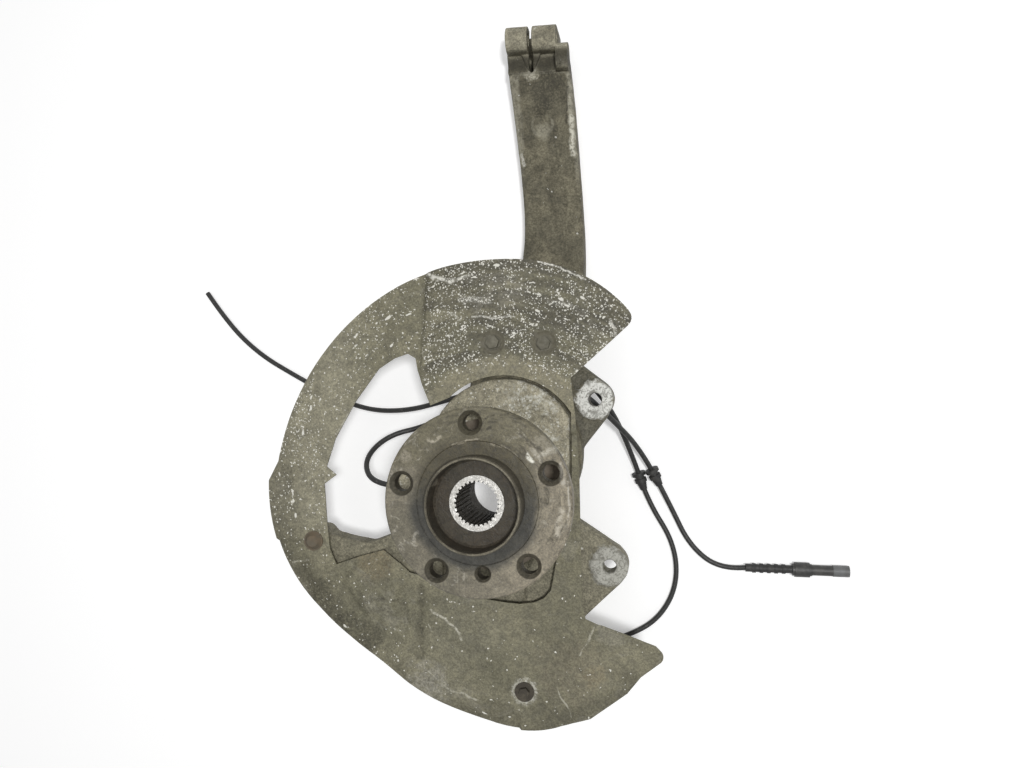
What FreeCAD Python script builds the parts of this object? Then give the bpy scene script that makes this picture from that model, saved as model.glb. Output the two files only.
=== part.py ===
"""Front wheel hub, steering knuckle, dust shield and leads, lying on its back.

Millimetres. The origin is the centre of the hub's wheel mounting face. +Z is the hub
axis, pointing outboard and up, and +Y runs towards the knuckle's long upper arm.
"""
import FreeCAD
import Part
import math
import os

os.makedirs("parts", exist_ok=True)
V = FreeCAD.Vector

# ---- driving dimensions ----
FLOOR_Z = -188.0            # the plane the knuckle's back rests on

# hub
WHEEL_BOLT_PCD = 120.0
FLANGE_R = WHEEL_BOLT_PCD / 2 + 11.6
FLANGE_THICK = 13.0
PILOT_R = 36.25
PILOT_HEIGHT = 18.0
PILOT_WALL = 3.2
BAND_R = PILOT_R + 9.75     # shallow relief round the pilot
BAND_DEPTH = 0.8
NUT_LAND_R = 20.9
NUT_LAND_HEIGHT = 0.8
WHEEL_BOLT_COUNT = 5
WHEEL_BOLT_START = 94.9     # degrees from +X
WHEEL_BOLT_HOLE_R = 6.35
WHEEL_BOLT_SINK_R = 9.4
WHEEL_BOLT_SINK_DEPTH = 3.0
LOCATOR_R = WHEEL_BOLT_PCD / 2 - 7.2
LOCATOR_ANGLE = -85.1
LOCATOR_HOLE_R = 4.6
LOCATOR_SINK_R = 6.3
SPLINE_BORE_R = 15.8
SPLINE_DEPTH = 1.3
SPLINE_TEETH = 30
SPLINE_LENGTH = 48.8

# bearing
PITCH_R = 36.0
BALL_R = 6.2
BALL_COUNT = 14
RACE_GAP = 0.05
INNER_LAND_R = PITCH_R - 2.8
OUTER_LAND_R = PITCH_R + 2.9
SEAL_SEAT_R = OUTER_LAND_R + 2.7
ROW_OUT_Z = -30.0
ROW_IN_Z = -58.0
RING_FRONT_Z = -17.0
RING_BODY_R = SEAL_SEAT_R + 3.4
RING_FLANGE_R = RING_BODY_R + 16.0
RING_FLANGE_THICK = 12.0
RING_REAR_LENGTH = 9.0      # from the carrier's seat to the end of the outer ring
INNER_SEAT_R = 24.0
SPLINE_RELIEF_R = INNER_SEAT_R - 3.5
INNER_RING_Z = -44.0
INNER_RING_END_Z = -80.0
CAGE_THICK = 3.0
CAGE_WIDTH = 15.6
CAGE_POCKET_GAP = 0.25
SEAL_THICK = 3.4
SEAL_LIP_GAP = 0.1
ENCODER_GAP = 0.5
ENCODER_R = SEAL_SEAT_R + 0.2
BEARING_BOLT_PCD = 2 * (RING_BODY_R + 8.0)
BEARING_BOLT_COUNT = 4
BEARING_BOLT_R = 5.9
BEARING_BOLT_AF = 18.0
FIT_GAP = 0.03              # spigots and seats
BOLT_GAP = 0.5              # bolt in its clearance hole

# knuckle
SHAFT_ROOM_R = RING_BODY_R + 3.0  # room behind the bearing for the drive shaft's joint
SEAT_Z = -62.0              # face that carries the bearing flange
CARRIER_THICK = 42.0
CARRIER_R = RING_FLANGE_R + 0.5
DISC_X, DISC_Y, DISC_R = 6.0, 28.0, 65.0
DISC_Z = -70.0
EAR_HOLE_R = 5.6
EAR_R = 16.0
EAR_UPPER = (81.0, 75.0)
EAR_LOWER = (93.0, -64.0)
EAR_Z = -88.0
EAR_THICK = 22.0
ARM_THICK = 27.0
ARM_EDGE_R = 6.0
CLAMP_X0, CLAMP_X1 = -5.0, 42.0
CLAMP_END_Y = 416.0
CLAMP_LENGTH = 40.0
CLAMP_EAR_R = 12.1
CLAMP_EAR_Z = -150.0
CLAMP_SLOT = 3.6
CLAMP_BORE_R = 8.0
CLAMP_BORE_Z = -166.0
PINCH_HOLE_R = 5.1
LOWER_BOSS_R = 21.0
LOWER_BOSS_LENGTH = 38.0
LOWER_BOSS_HOLE_R = 8.0
LOWER_BOSSES = ((41.0, -146.0), (-52.0, -146.0))
TIE_BOSS_R = 17.0
TIE_BOSS_LENGTH = 32.0
TIE_HOLE_R = 7.0
TIE_HOLE_Z = -121.0
STEERING_BACK_Z = -112.0

# dust shield
SHEET = 1.5
SHIELD_Z = -78.0            # front face of the plain sheet
PAD_RISE = 3.5
DIMPLE_R = 10.4
DIMPLE_DEPTH = 1.6
OPENING_GAP = 2.4
UPPER_BOLTS = ((-3.0, 123.0), (40.0, 122.0))
LEFT_BOLT = (-164.0, -49.0)
LOWER_BOLT = (23.0, -169.0)
SCREW_R = 3.0
SCREW_LENGTH = 14.0

# sensor and leads
SENSOR_Z = -80.0
SENSOR_R = 6.0
SENSOR_FACE_X = -68.0
SENSOR_FLAT_Y = (-15.0, 23.0)
SENSOR_AIR_GAP = 1.0
SENSOR_LUG_GAP = 8.4        # from the sensor's axis up to the lug over it
LEAD_D = 4.7
CLIP_X = 25.0
CLIP_LENGTH = 24.0
CLIP_SEAT_Z = -126.0        # pad under the arm's root
CLIP_WEAR = (86.0, -132.0)  # Y and Z of the wear lead in the clip
CLIP_SENSOR = (102.0, -141.0)
LEAD_HOLE_GAP = 0.15
GROMMET_R = 6.4
GROMMET_LENGTH = 12.0
CONNECTOR_Z = -181.3
CONNECTOR_Y = -81.5
BOOT_X, BOOT_END_X, SWELL_END_X, BODY_END_X, CONNECTOR_END_X = 212.0, 253.0, 270.0, 288.0, 302.0
SENSOR_PLUG_Y = -158.0
SENSOR_PLUG_X, SENSOR_PLUG_END_X = 80.0, 42.0

# points of the leads, from the clip or the sensor outwards
WEAR_LEAD_OUTER = ((37, 86, -132), (62, 85, -132), (90, 58, -144), (117, 27, -173), (144, -26, -185),
                   (162, -64, -185.4), (190, -85, -184.5), (212, -81.5, -181.3))
WEAR_LEAD_INNER = ((13, 86, -132), (-20, 84.5, -132), (-60, 72, -134), (-101, 62, -146), (-146, 62, -163),
                   (-190, 76, -178), (-232, 96, -185.2), (-271, 118, -185.4), (-305, 149, -185.4),
                   (-329, 182, -185.4))
SENSOR_LEAD = ((-80, 0, -80), (-110, 0, -80), (-126, 20, -98), (-110, 41, -117), (-76, 49, -130),
               (-42, 68, -141), (-8, 102, -141), (60, 102, -141), (91, 66, -153), (109, 21, -179),
               (124, -24, -185.4), (148, -62, -185.4), (151, -101, -185.4), (134, -134, -185.4),
               (104, -152, -184), (80, -158, -181.3))

CARRIER_BACK_Z = SEAT_Z - CARRIER_THICK
PAD_Z = SHIELD_Z + PAD_RISE


# ---- small makers ----
def turn_z(radius, z0, z1, x=0.0, y=0.0):
    """Cylinder along Z between two heights."""
    low, high = min(z0, z1), max(z0, z1)
    return Part.makeCylinder(radius, high - low, V(x, y, low))


def rod(radius, start, end):
    """Cylinder from one point to another."""
    a, b = V(*start), V(*end)
    return Part.makeCylinder(radius, (b - a).Length, a, b - a)


def block(x0, x1, y0, y1, z0, z1):
    """Box between two corners."""
    return Part.makeBox(x1 - x0, y1 - y0, z1 - z0, V(x0, y0, z0))


def prism(points, z0, z1):
    """Straight prism over a polygon in plan."""
    wire = Part.makePolygon([V(x, y, z0) for x, y in points] + [V(*points[0], z0)])
    return Part.Face(wire).extrude(V(0, 0, z1 - z0))


def turned(points):
    """Ring turned about Z from (radius, height) points."""
    wire = Part.makePolygon([V(r, 0, z) for r, z in points] + [V(points[0][0], 0, points[0][1])])
    return Part.Face(wire).revolve(V(0, 0, 0), V(0, 0, 1), 360)


def joined(shapes):
    """One clean solid from overlapping solids."""
    whole = shapes[0].multiFuse(shapes[1:]) if len(shapes) > 1 else shapes[0]
    return whole.removeSplitter()


def less(shape, cutters):
    """A solid with cutters taken away."""
    return shape.cut(cutters)


def on_circle(radius, count, start=0.0):
    """Evenly spaced points on a circle about the hub axis."""
    for i in range(count):
        angle = math.radians(start + 360.0 * i / count)
        yield radius * math.cos(angle), radius * math.sin(angle), math.degrees(angle)


def hexagon(across_flats, z0, z1, x=0.0, y=0.0):
    """Hexagonal prism along Z."""
    radius = across_flats / math.sqrt(3)
    corners = [(x + px, y + py) for px, py, _ in on_circle(radius, 6, 12)]
    return prism(corners, z0, z1)


def inset(points, distance):
    """Convex polygon, listed anticlockwise, moved inwards by a distance."""
    count, moved = len(points), []
    for i in range(count):
        (ax, ay), (bx, by), (cx, cy) = points[i - 1], points[i], points[(i + 1) % count]
        u, v = V(bx - ax, by - ay, 0).normalize(), V(cx - bx, cy - by, 0).normalize()
        n1, n2 = V(-u.y, u.x, 0), V(-v.y, v.x, 0)
        shift = (n1 + n2) * (distance / (1 + n1.dot(n2)))
        moved.append((bx + shift.x, by + shift.y))
    return moved


def raised(points, z0, z1, slope):
    """Pad with sloping sides over a convex polygon."""
    wires = []
    for ring, z in ((points, z0), (inset(points, slope), z1)):
        wires.append(Part.makePolygon([V(x, y, z) for x, y in ring] + [V(*ring[0], z)]))
    return Part.makeLoft(wires, True, True)


def tube(points, diameter):
    """Round tube of straight runs joined by tangent arcs, with its length and arc radii."""
    path = [V(*p) for p in points]
    edges, here, radii = [], path[0], []
    for i in range(1, len(path) - 1):
        before, after = path[i] - path[i - 1], path[i + 1] - path[i]
        run = 0.45 * min(before.Length, after.Length)
        u, v = before.normalize(), after.normalize()
        half = u.getAngle(v) / 2
        radius = run / math.tan(half)
        radii.append(radius)
        start, end = path[i] - u * run, path[i] + v * run
        to_mid = (v - u).normalize()
        centre = path[i] + to_mid * (radius / math.cos(half))
        middle = centre - to_mid * radius
        if (start - here).Length > 1e-6:
            edges.append(Part.makeLine(here, start))
        edges.append(Part.Arc(start, middle, end).toShape())
        here = end
    edges.append(Part.makeLine(here, path[-1]))
    wire = Part.Wire(edges)
    ring = Part.Wire(Part.makeCircle(diameter / 2, path[0], path[1] - path[0]))
    return wire.makePipeShell([ring], True, True), wire.Length, radii


def lead(name, points, diameter):
    """Lead along its points; prints its length, its tightest bend and its volume over section by length."""
    solid, length, radii = tube(points, diameter)
    section = math.pi * diameter ** 2 / 4
    print(f"{name}: length {length:.1f}, smallest radius {min(radii):.1f}, "
          f"volume ratio {solid.Volume / (section * length):.3f}")
    return solid


# ---- hub ----
def hub():
    """Wheel flange with its pilot, bearing stem and splined bore."""
    inner = PILOT_R - PILOT_WALL
    end_z = INNER_RING_END_Z - 4.0
    spline_end = NUT_LAND_HEIGHT - SPLINE_LENGTH
    body = turned([
        (SPLINE_BORE_R, NUT_LAND_HEIGHT), (NUT_LAND_R, NUT_LAND_HEIGHT), (NUT_LAND_R, 0),
        (inner - 1.5, 0), (inner, 1.5), (inner + 1.0, PILOT_HEIGHT - 1.0),
        (inner + 1.8, PILOT_HEIGHT), (PILOT_R - 1.2, PILOT_HEIGHT), (PILOT_R, PILOT_HEIGHT - 2.0),
        (PILOT_R, -BAND_DEPTH), (BAND_R, -BAND_DEPTH), (BAND_R + BAND_DEPTH, 0),
        (FLANGE_R - 1.0, 0), (FLANGE_R, -1.0), (FLANGE_R, 1.5 - FLANGE_THICK),
        (FLANGE_R - 1.5, -FLANGE_THICK), (INNER_LAND_R + 4, -FLANGE_THICK),
        (INNER_LAND_R, -FLANGE_THICK - 4), (INNER_LAND_R, ROW_OUT_Z),
        (INNER_LAND_R - 2.5, ROW_OUT_Z), (INNER_LAND_R - 3.2, INNER_RING_Z + 2),
        (INNER_LAND_R - 3.2, INNER_RING_Z), (INNER_SEAT_R, INNER_RING_Z),
        (INNER_SEAT_R, INNER_RING_END_Z), (INNER_SEAT_R + 4, INNER_RING_END_Z),
        (INNER_SEAT_R + 3, end_z), (SPLINE_RELIEF_R + 1, end_z), (SPLINE_RELIEF_R, end_z + 1),
        (SPLINE_RELIEF_R, spline_end), (SPLINE_BORE_R, spline_end),
    ])
    cutters = [race(ROW_OUT_Z)]
    for x, y, _ in on_circle(WHEEL_BOLT_PCD / 2, WHEEL_BOLT_COUNT, WHEEL_BOLT_START):
        cutters.append(turn_z(WHEEL_BOLT_HOLE_R, 1, -FLANGE_THICK - 1, x, y))
        cutters.append(Part.makeCone(WHEEL_BOLT_HOLE_R, WHEEL_BOLT_SINK_R, WHEEL_BOLT_SINK_DEPTH,
                                     V(x, y, -WHEEL_BOLT_SINK_DEPTH)))
    angle = math.radians(LOCATOR_ANGLE)
    x, y = LOCATOR_R * math.cos(angle), LOCATOR_R * math.sin(angle)
    cutters.append(turn_z(LOCATOR_HOLE_R, 1, -FLANGE_THICK - 1, x, y))
    cutters.append(Part.makeCone(LOCATOR_HOLE_R, LOCATOR_SINK_R, 2.0, V(x, y, -2.0)))
    groove = prism([(SPLINE_BORE_R - 1, -1.05), (SPLINE_BORE_R + SPLINE_DEPTH, -0.55),
                    (SPLINE_BORE_R + SPLINE_DEPTH, 0.55), (SPLINE_BORE_R - 1, 1.05)],
                   spline_end - 1, NUT_LAND_HEIGHT + 1)
    for i in range(SPLINE_TEETH):
        tooth = groove.copy()
        tooth.rotate(V(0, 0, 0), V(0, 0, 1), 360.0 * i / SPLINE_TEETH)
        cutters.append(tooth)
    return less(body, cutters)


# ---- bearing ----
def race(z):
    """Ball track as a cutter."""
    return Part.makeTorus(PITCH_R, BALL_R + RACE_GAP, V(0, 0, z))


def bearing_outer_ring():
    """Bolted outer ring with both outer tracks."""
    flange_front = SEAT_Z + RING_FLANGE_THICK
    end_z = SEAT_Z - RING_REAR_LENGTH
    ring = turned([
        (SEAL_SEAT_R, RING_FRONT_Z), (RING_BODY_R - 1, RING_FRONT_Z), (RING_BODY_R, RING_FRONT_Z - 1),
        (RING_BODY_R, flange_front), (RING_FLANGE_R, flange_front), (RING_FLANGE_R, SEAT_Z),
        (RING_BODY_R, SEAT_Z), (RING_BODY_R, end_z), (SEAL_SEAT_R, end_z),
        (SEAL_SEAT_R, end_z + SEAL_THICK), (OUTER_LAND_R, end_z + SEAL_THICK),
        (OUTER_LAND_R, RING_FRONT_Z - SEAL_THICK), (SEAL_SEAT_R, RING_FRONT_Z - SEAL_THICK),
    ])
    cutters = [race(ROW_OUT_Z), race(ROW_IN_Z)]
    for x, y, _ in on_circle(BEARING_BOLT_PCD / 2, BEARING_BOLT_COUNT, 45):
        cutters.append(turn_z(BEARING_BOLT_R + FIT_GAP, flange_front + 1, SEAT_Z - 1, x, y))
    return less(ring, cutters)


def bearing_inner_ring():
    """Ring pressed on the hub stem with the inboard inner track."""
    ring = turned([
        (INNER_SEAT_R, INNER_RING_Z), (INNER_LAND_R - 3.2, INNER_RING_Z),
        (INNER_LAND_R - 2.5, ROW_IN_Z), (INNER_LAND_R, ROW_IN_Z),
        (INNER_LAND_R, INNER_RING_END_Z), (INNER_SEAT_R, INNER_RING_END_Z),
    ])
    return less(ring, [race(ROW_IN_Z)])


def balls(z):
    """One row of balls."""
    return [Part.makeSphere(BALL_R, V(x, y, z)) for x, y, _ in on_circle(PITCH_R, BALL_COUNT)]


def cage(z):
    """Moulded cage of one row, with a pocket for each ball."""
    r0, r1 = PITCH_R - CAGE_THICK / 2, PITCH_R + CAGE_THICK / 2
    z0, z1 = z - CAGE_WIDTH / 2, z + CAGE_WIDTH / 2
    ring = turned([(r0, z0), (r1, z0), (r1, z1), (r0, z1)])
    return less(ring, [rod(BALL_R + CAGE_POCKET_GAP, (x * 0.8, y * 0.8, z), (x * 1.2, y * 1.2, z))
                       for x, y, _ in on_circle(PITCH_R, BALL_COUNT)])


def seal(front_z):
    """Lip seal in the outer ring's end."""
    lip = INNER_LAND_R + SEAL_LIP_GAP
    back_z = front_z - SEAL_THICK
    return turned([(lip, front_z - 0.8), (lip + 2, front_z), (SEAL_SEAT_R, front_z),
                   (SEAL_SEAT_R, back_z), (SEAL_SEAT_R - 1.4, back_z), (SEAL_SEAT_R - 1.4, front_z - 1.4),
                   (lip + 2, front_z - 1.4), (lip, front_z - 2.2)])


def encoder_ring():
    """Signal ring on the inner ring, read by the speed sensor."""
    front = SEAT_Z - RING_REAR_LENGTH - ENCODER_GAP
    return turned([(INNER_LAND_R, front), (ENCODER_R, front), (ENCODER_R, front - 11),
                   (ENCODER_R - 1.2, front - 11), (ENCODER_R - 1.2, front - 1.2),
                   (INNER_LAND_R + 1.2, front - 1.2), (INNER_LAND_R + 1.2, front - 7), (INNER_LAND_R, front - 7)])


def bearing_bolts():
    """Bolts that hold the bearing from behind the knuckle."""
    bolts = []
    for x, y, _ in on_circle(BEARING_BOLT_PCD / 2, BEARING_BOLT_COUNT, 45):
        shank = turn_z(BEARING_BOLT_R, CARRIER_BACK_Z, SEAT_Z + RING_FLANGE_THICK - 1, x, y)
        collar = turn_z(BEARING_BOLT_AF * 0.62, CARRIER_BACK_Z - 2, CARRIER_BACK_Z, x, y)
        head = hexagon(BEARING_BOLT_AF, CARRIER_BACK_Z - 11, CARRIER_BACK_Z - 2, x, y)
        bolts.append(joined([shank, collar, head]))
    return bolts


# ---- knuckle ----
ARM_FRONT = ((70, -84), (110, -98), (150, -130), (190, -154), (250, -161), (330, -160), (396, -156))
ARM_EDGE_LEFT = ((-24, 60), (-20, 120), (0, 170), (9, 230), (5, 290), (-1, 340), (-7, 396))
ARM_EDGE_RIGHT = ((62, 60), (66, 120), (66, 170), (65, 230), (61, 290), (57, 340), (51, 396))


def curve(points):
    """Smooth edge through points."""
    line = Part.BSplineCurve()
    line.interpolate([V(*p) for p in points])
    return line.toShape()


def upper_arm():
    """Long curved arm: its side shape crossed with its front shape."""
    front = [(-60.0, y, z) for y, z in ARM_FRONT]
    back = [(-60.0, y, max(z - ARM_THICK - 8 * math.exp(-((y - 200) / 90.0) ** 2), FLOOR_Z))
            for y, z in ARM_FRONT]
    top, low = curve(front), curve(back)
    side = Part.Face(Part.Wire([top, Part.makeLine(V(*front[-1]), V(*back[-1])), low,
                                Part.makeLine(V(*back[0]), V(*front[0]))])).extrude(V(160, 0, 0))
    left = [(x, y, -200.0) for x, y in ARM_EDGE_LEFT]
    right = [(x, y, -200.0) for x, y in ARM_EDGE_RIGHT]
    plan = Part.Face(Part.Wire([curve(left), Part.makeLine(V(*left[-1]), V(*right[-1])), curve(right),
                                Part.makeLine(V(*right[0]), V(*left[0]))])).extrude(V(0, 0, 160))
    arm = side.common(plan)
    long_edges = [edge for edge in arm.Edges if edge.Length > 250]
    return arm.makeFillet(ARM_EDGE_R, long_edges).common(block(-100, 150, 0, 450, FLOOR_Z, 0))


def clamp():
    """Split clamp for the upper ball joint's pin, at the arm's end."""
    x0, x1, y0, y1 = CLAMP_X0, CLAMP_X1, CLAMP_END_Y - CLAMP_LENGTH, CLAMP_END_Y
    mid = (x0 + x1) / 2 - 1.0
    ear_y = y1 - CLAMP_EAR_R
    body = [block(x0, x1, y0, y1, CLAMP_BORE_Z - 16, CLAMP_BORE_Z + 11),
            block(x0, x1, ear_y - CLAMP_EAR_R, y1, CLAMP_BORE_Z + 10, CLAMP_EAR_Z),
            prism([(mid - 3, y0 + 2), (mid + 3, y0 + 2), (mid + 10, y0 + 18), (mid - 10, y0 + 18)],
                  CLAMP_BORE_Z + 8, CLAMP_BORE_Z + 14)]
    ears = rod(CLAMP_EAR_R, (x0, ear_y, CLAMP_EAR_Z), (x1, ear_y, CLAMP_EAR_Z))
    boss_y, boss_z = y0 + 11.4, CLAMP_EAR_Z - 2
    boss = rod(CLAMP_EAR_R + 0.2, (x1 - 1, boss_y, boss_z), (x1 + 10.5, boss_y, boss_z))
    cutters = [
        rod(CLAMP_BORE_R, (mid, y0 - 1, CLAMP_BORE_Z), (mid, y1 + 1, CLAMP_BORE_Z)),
        block(mid - CLAMP_SLOT / 2, mid + CLAMP_SLOT / 2, y0 + 1, y1 + 1, CLAMP_BORE_Z, -130),
        rod(PINCH_HOLE_R, (x0 - 1, ear_y, CLAMP_EAR_Z + 0.5), (x1 + 1, ear_y, CLAMP_EAR_Z + 0.5)),
    ]
    return body + [ears, boss], cutters


def lower_boss(radius, x, y, past):
    """Cylinder of a lower ball joint boss, longer by a distance at both ends."""
    z = FLOOR_Z + LOWER_BOSS_R
    return rod(radius, (x, y - past, z), (x, y + LOWER_BOSS_LENGTH + past, z))


def tie_eye(radius, past):
    """Cylinder of the tie rod eye, longer by a distance at both ends."""
    x, y = LEFT_BOLT[0] + 2, LEFT_BOLT[1] - 37
    return rod(radius, (x, y - past, TIE_HOLE_Z), (x, y + TIE_BOSS_LENGTH + past, TIE_HOLE_Z))


def knuckle():
    """Cast knuckle: carrier, arm, clamp, caliper ears, steering arm and lower bosses."""
    back = CARRIER_BACK_Z
    solids = [turn_z(CARRIER_R, SEAT_Z, back)]
    disc = Part.makeCone(DISC_R, DISC_R - 3, 3.0, V(DISC_X, DISC_Y, DISC_Z - 3))
    solids += [disc, turn_z(DISC_R, DISC_Z - 3, back, DISC_X, DISC_Y)]
    solids.append(upper_arm())
    clamp_solids, clamp_cuts = clamp()
    solids += clamp_solids
    # caliper ears and their webs
    ear_back = EAR_Z - EAR_THICK
    for (x, y), web in ((EAR_UPPER, ((20, 40), (60, 20), (92, 61), (91, 88), (52, 118), (20, 118))),
                        (EAR_LOWER, ((30, -20), (60, -22), (103, -50), (104, -77), (64, -116), (20, -110)))):
        solids.append(turn_z(EAR_R, EAR_Z, ear_back, x, y))
        solids.append(prism(web, ear_back + 3, EAR_Z - 3))
    # upper lug of the shield
    lug_z = PAD_Z - DIMPLE_DEPTH - SHEET
    for x, y in UPPER_BOLTS:
        solids.append(turn_z(10.0, lug_z, back, x, y))
    (ax, ay), (bx, by) = UPPER_BOLTS
    solids.append(prism(((ax - 14, 70), (bx + 14, 70), (bx + 4, by + 5), (ax - 4, ay + 5)), back, lug_z - 4))
    # lower body and ball joint bosses
    solids.append(prism(((-54, -20), (56, -20), (58, -100), (50, -148), (-58, -148), (-60, -70)), -128, -94))
    for x, y in LOWER_BOSSES:
        solids.append(lower_boss(LOWER_BOSS_R, x, y, 0))
        solids.append(block(x - 14, x + 14, y + 3, y + LOWER_BOSS_LENGTH - 3, FLOOR_Z + LOWER_BOSS_R, -110))
    # lower lug of the shield
    flat_z = SHIELD_Z - SHEET
    solids.append(turn_z(10.0, flat_z, -112, *LOWER_BOLT))
    solids.append(prism(((4, -135), (42, -135), (31, -175), (15, -175)), -112, flat_z - 5))
    # steering arm, with the shield's left lug on it
    sx, sy = LEFT_BOLT
    solids.append(prism(((-52, -20), (-100, -45), (-118, -52), (-138, -49), (sx + 9, sy + 4), (sx - 8, sy - 8),
                         (sx - 4, sy - 24), (-116, -92), (-60, -104), (-50, -100)), STEERING_BACK_Z, -90))
    solids.append(turn_z(11.0, flat_z, STEERING_BACK_Z, sx, sy))
    solids.append(tie_eye(TIE_BOSS_R, 0))
    # flat for the speed sensor, and the lug that covers it
    lug = ((-54, -10), (-82, -7), (-88, 4), (-82, 15), (-54, 18))
    solids.append(prism(lug, SENSOR_Z + SENSOR_LUG_GAP, SEAT_Z))
    solids.append(block(SENSOR_FACE_X, -40, *SENSOR_FLAT_Y, SENSOR_Z - 13, SENSOR_Z + 6))
    # pad for the lead clip, and the small round boss on the arm
    solids.append(block(CLIP_X - 9, CLIP_X + 9, CLIP_WEAR[0] - 3, CLIP_SENSOR[0] + 3, CLIP_SEAT_Z, -100))
    solids.append(Part.makeCone(10.5, 9.0, 6.0, V(27, 329, -164)))
    whole = joined(solids)

    cutters = list(clamp_cuts)
    cutters.append(turn_z(4.0, -159.2, -150, 27, 329))
    cutters.append(turn_z(2.5 + FIT_GAP, CLIP_SEAT_Z - 1, CLIP_SEAT_Z + 14, CLIP_X, clip_middle_y()))
    cutters.append(turn_z(RING_BODY_R + FIT_GAP, SEAT_Z + 1, back - 1))
    cutters.append(turn_z(SHAFT_ROOM_R, back, back - 60))
    cutters.append(block(CARRIER_R, CARRIER_R + 30, -60, 66, SHIELD_Z - SHEET - 3, 0))
    cutters.append(turn_z(RING_FLANGE_R + 1.5, SEAT_Z, 0))
    for x, y, _ in on_circle(BEARING_BOLT_PCD / 2, BEARING_BOLT_COUNT, 45):
        cutters.append(turn_z(BEARING_BOLT_R + BOLT_GAP, SEAT_Z + 1, back - 1, x, y))
        cutters.append(turn_z(BEARING_BOLT_AF * 0.62 + 2, back, back - 60, x, y))
    for x, y in (EAR_UPPER, EAR_LOWER):
        cutters.append(turn_z(EAR_HOLE_R, EAR_Z + 1, ear_back - 1, x, y))
    for x, y in UPPER_BOLTS + (LEFT_BOLT, LOWER_BOLT):
        cutters.append(turn_z(SCREW_R + FIT_GAP, PAD_Z, flat_z - SCREW_LENGTH - 2, x, y))
    for x, y in LOWER_BOSSES:
        cutters.append(lower_boss(LOWER_BOSS_HOLE_R, x, y, 1))
    cutters.append(tie_eye(TIE_HOLE_R, 1))
    cutters.append(rod(SENSOR_R + 0.2, (SENSOR_FACE_X - 1, 0, SENSOR_Z), (-30, 0, SENSOR_Z)))
    cutters.append(rod(2.5 + FIT_GAP, (SENSOR_FACE_X - 1, 14, SENSOR_Z), (SENSOR_FACE_X + 14, 14, SENSOR_Z)))
    return less(whole, cutters)


def knuckle_regions():
    """The one casting, cut where its arms and bosses begin, so that each region is a plain shape."""
    left = knuckle()
    far = 500.0  # past every edge of the casting
    clamp_y = CLAMP_END_Y - CLAMP_LENGTH - 2.0
    arm_y = UPPER_BOLTS[0][1] + 13.0
    steering_x, steering_y = -CARRIER_R - 0.5, SENSOR_FLAT_Y[0] - 1.5
    lower_y = -CARRIER_R - 1.0
    zones = {
        "knuckle_clamp": [block(-far, far, clamp_y, far, -far, 0)],
        "knuckle_arm": [block(-far, far, arm_y, clamp_y, -far, 0)],
        "knuckle_caliper_ears": [turn_z(EAR_R, EAR_Z, EAR_Z - EAR_THICK, x, y)
                                 for x, y in (EAR_UPPER, EAR_LOWER)],
        "knuckle_tie_eye": [tie_eye(TIE_BOSS_R, 0)],
        "knuckle_lower_bosses": [lower_boss(LOWER_BOSS_R, x, y, 0) for x, y in LOWER_BOSSES],
        "knuckle_steering_arm": [block(-far, steering_x, lower_y - 37.5, steering_y, -far, 0)],
        "knuckle_lower_body": [block(-far, far, -far, lower_y, -far, 0)],
    }
    regions = {}
    for name, zone in zones.items():
        parts = [left.common(tool) for tool in zone]
        solids = [solid for part in parts for solid in part.Solids]
        regions[name] = solids[0] if len(solids) == 1 else Part.makeCompound(solids)
        left = less(left, zone)
    regions["knuckle_carrier"] = left.Solids[0] if len(left.Solids) == 1 else left
    return regions


# ---- dust shield ----
RIM = ((-197, 20), (-182, 69), (-126, 145), (-62, 182), (-6, 192), (54, 185), (102, 156), (114, 142))
NOTCH = ((109, 136), (62, 93), (66, 61), (69, 10), (71, -93), (74, -106), (95, -113), (131, -125), (140, -134),
         (119, -151), (108, -165), (78, -188), (53, -196))
LOW_RIM = ((53, -196), (32, -201), (-16, -195), (-72, -172), (-100, -152), (-150, -117), (-187, -75),
           (-205, -20), (-206, 3))
WINDOW = ((-76, -73), (-84, -66), (-100, -55), (-121, -61), (-143, -69), (-149, -56), (-152, -27), (-154, 1),
          (-143, 9), (-152, 16), (-144, 40), (-125, 73), (-104, 101), (-90, 110), (-78, 114), (-71, 110),
          (-69, 99), (-57, 70))
LOWER_EDGE = ((58, -38), (50, -58), (47.5, -72), (45.5, -83), (39.5, -90), (31.5, -93.8), (19, -95.7), (6, -95),
              (-30, -91), (-60, -77))
LEFT_PAD = ((-118, -112), (-90, -108), (-80, -84), (-94, -64), (-126, -66), (-138, -82))
UPPER_PAD = ((-71, 46), (160, 46), (160, 240), (-59, 240))


def sheet_core(drop):
    """Everything under the shield's front face, lowered by a distance."""
    base = block(-230, 170, -220, 220, -110 - drop, SHIELD_Z - drop)
    pads = [raised(UPPER_PAD, SHIELD_Z - drop - 0.01, PAD_Z - drop, 4.0),
            raised(LEFT_PAD, SHIELD_Z - drop - 0.01, SHIELD_Z + 3.0 - drop, 5.0)]
    dimples = [Part.makeCone(DIMPLE_R - 2, DIMPLE_R, DIMPLE_DEPTH + 0.01, V(x, y, PAD_Z - DIMPLE_DEPTH - drop))
               for x, y in UPPER_BOLTS]
    return less(joined([base] + pads), dimples)


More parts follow.
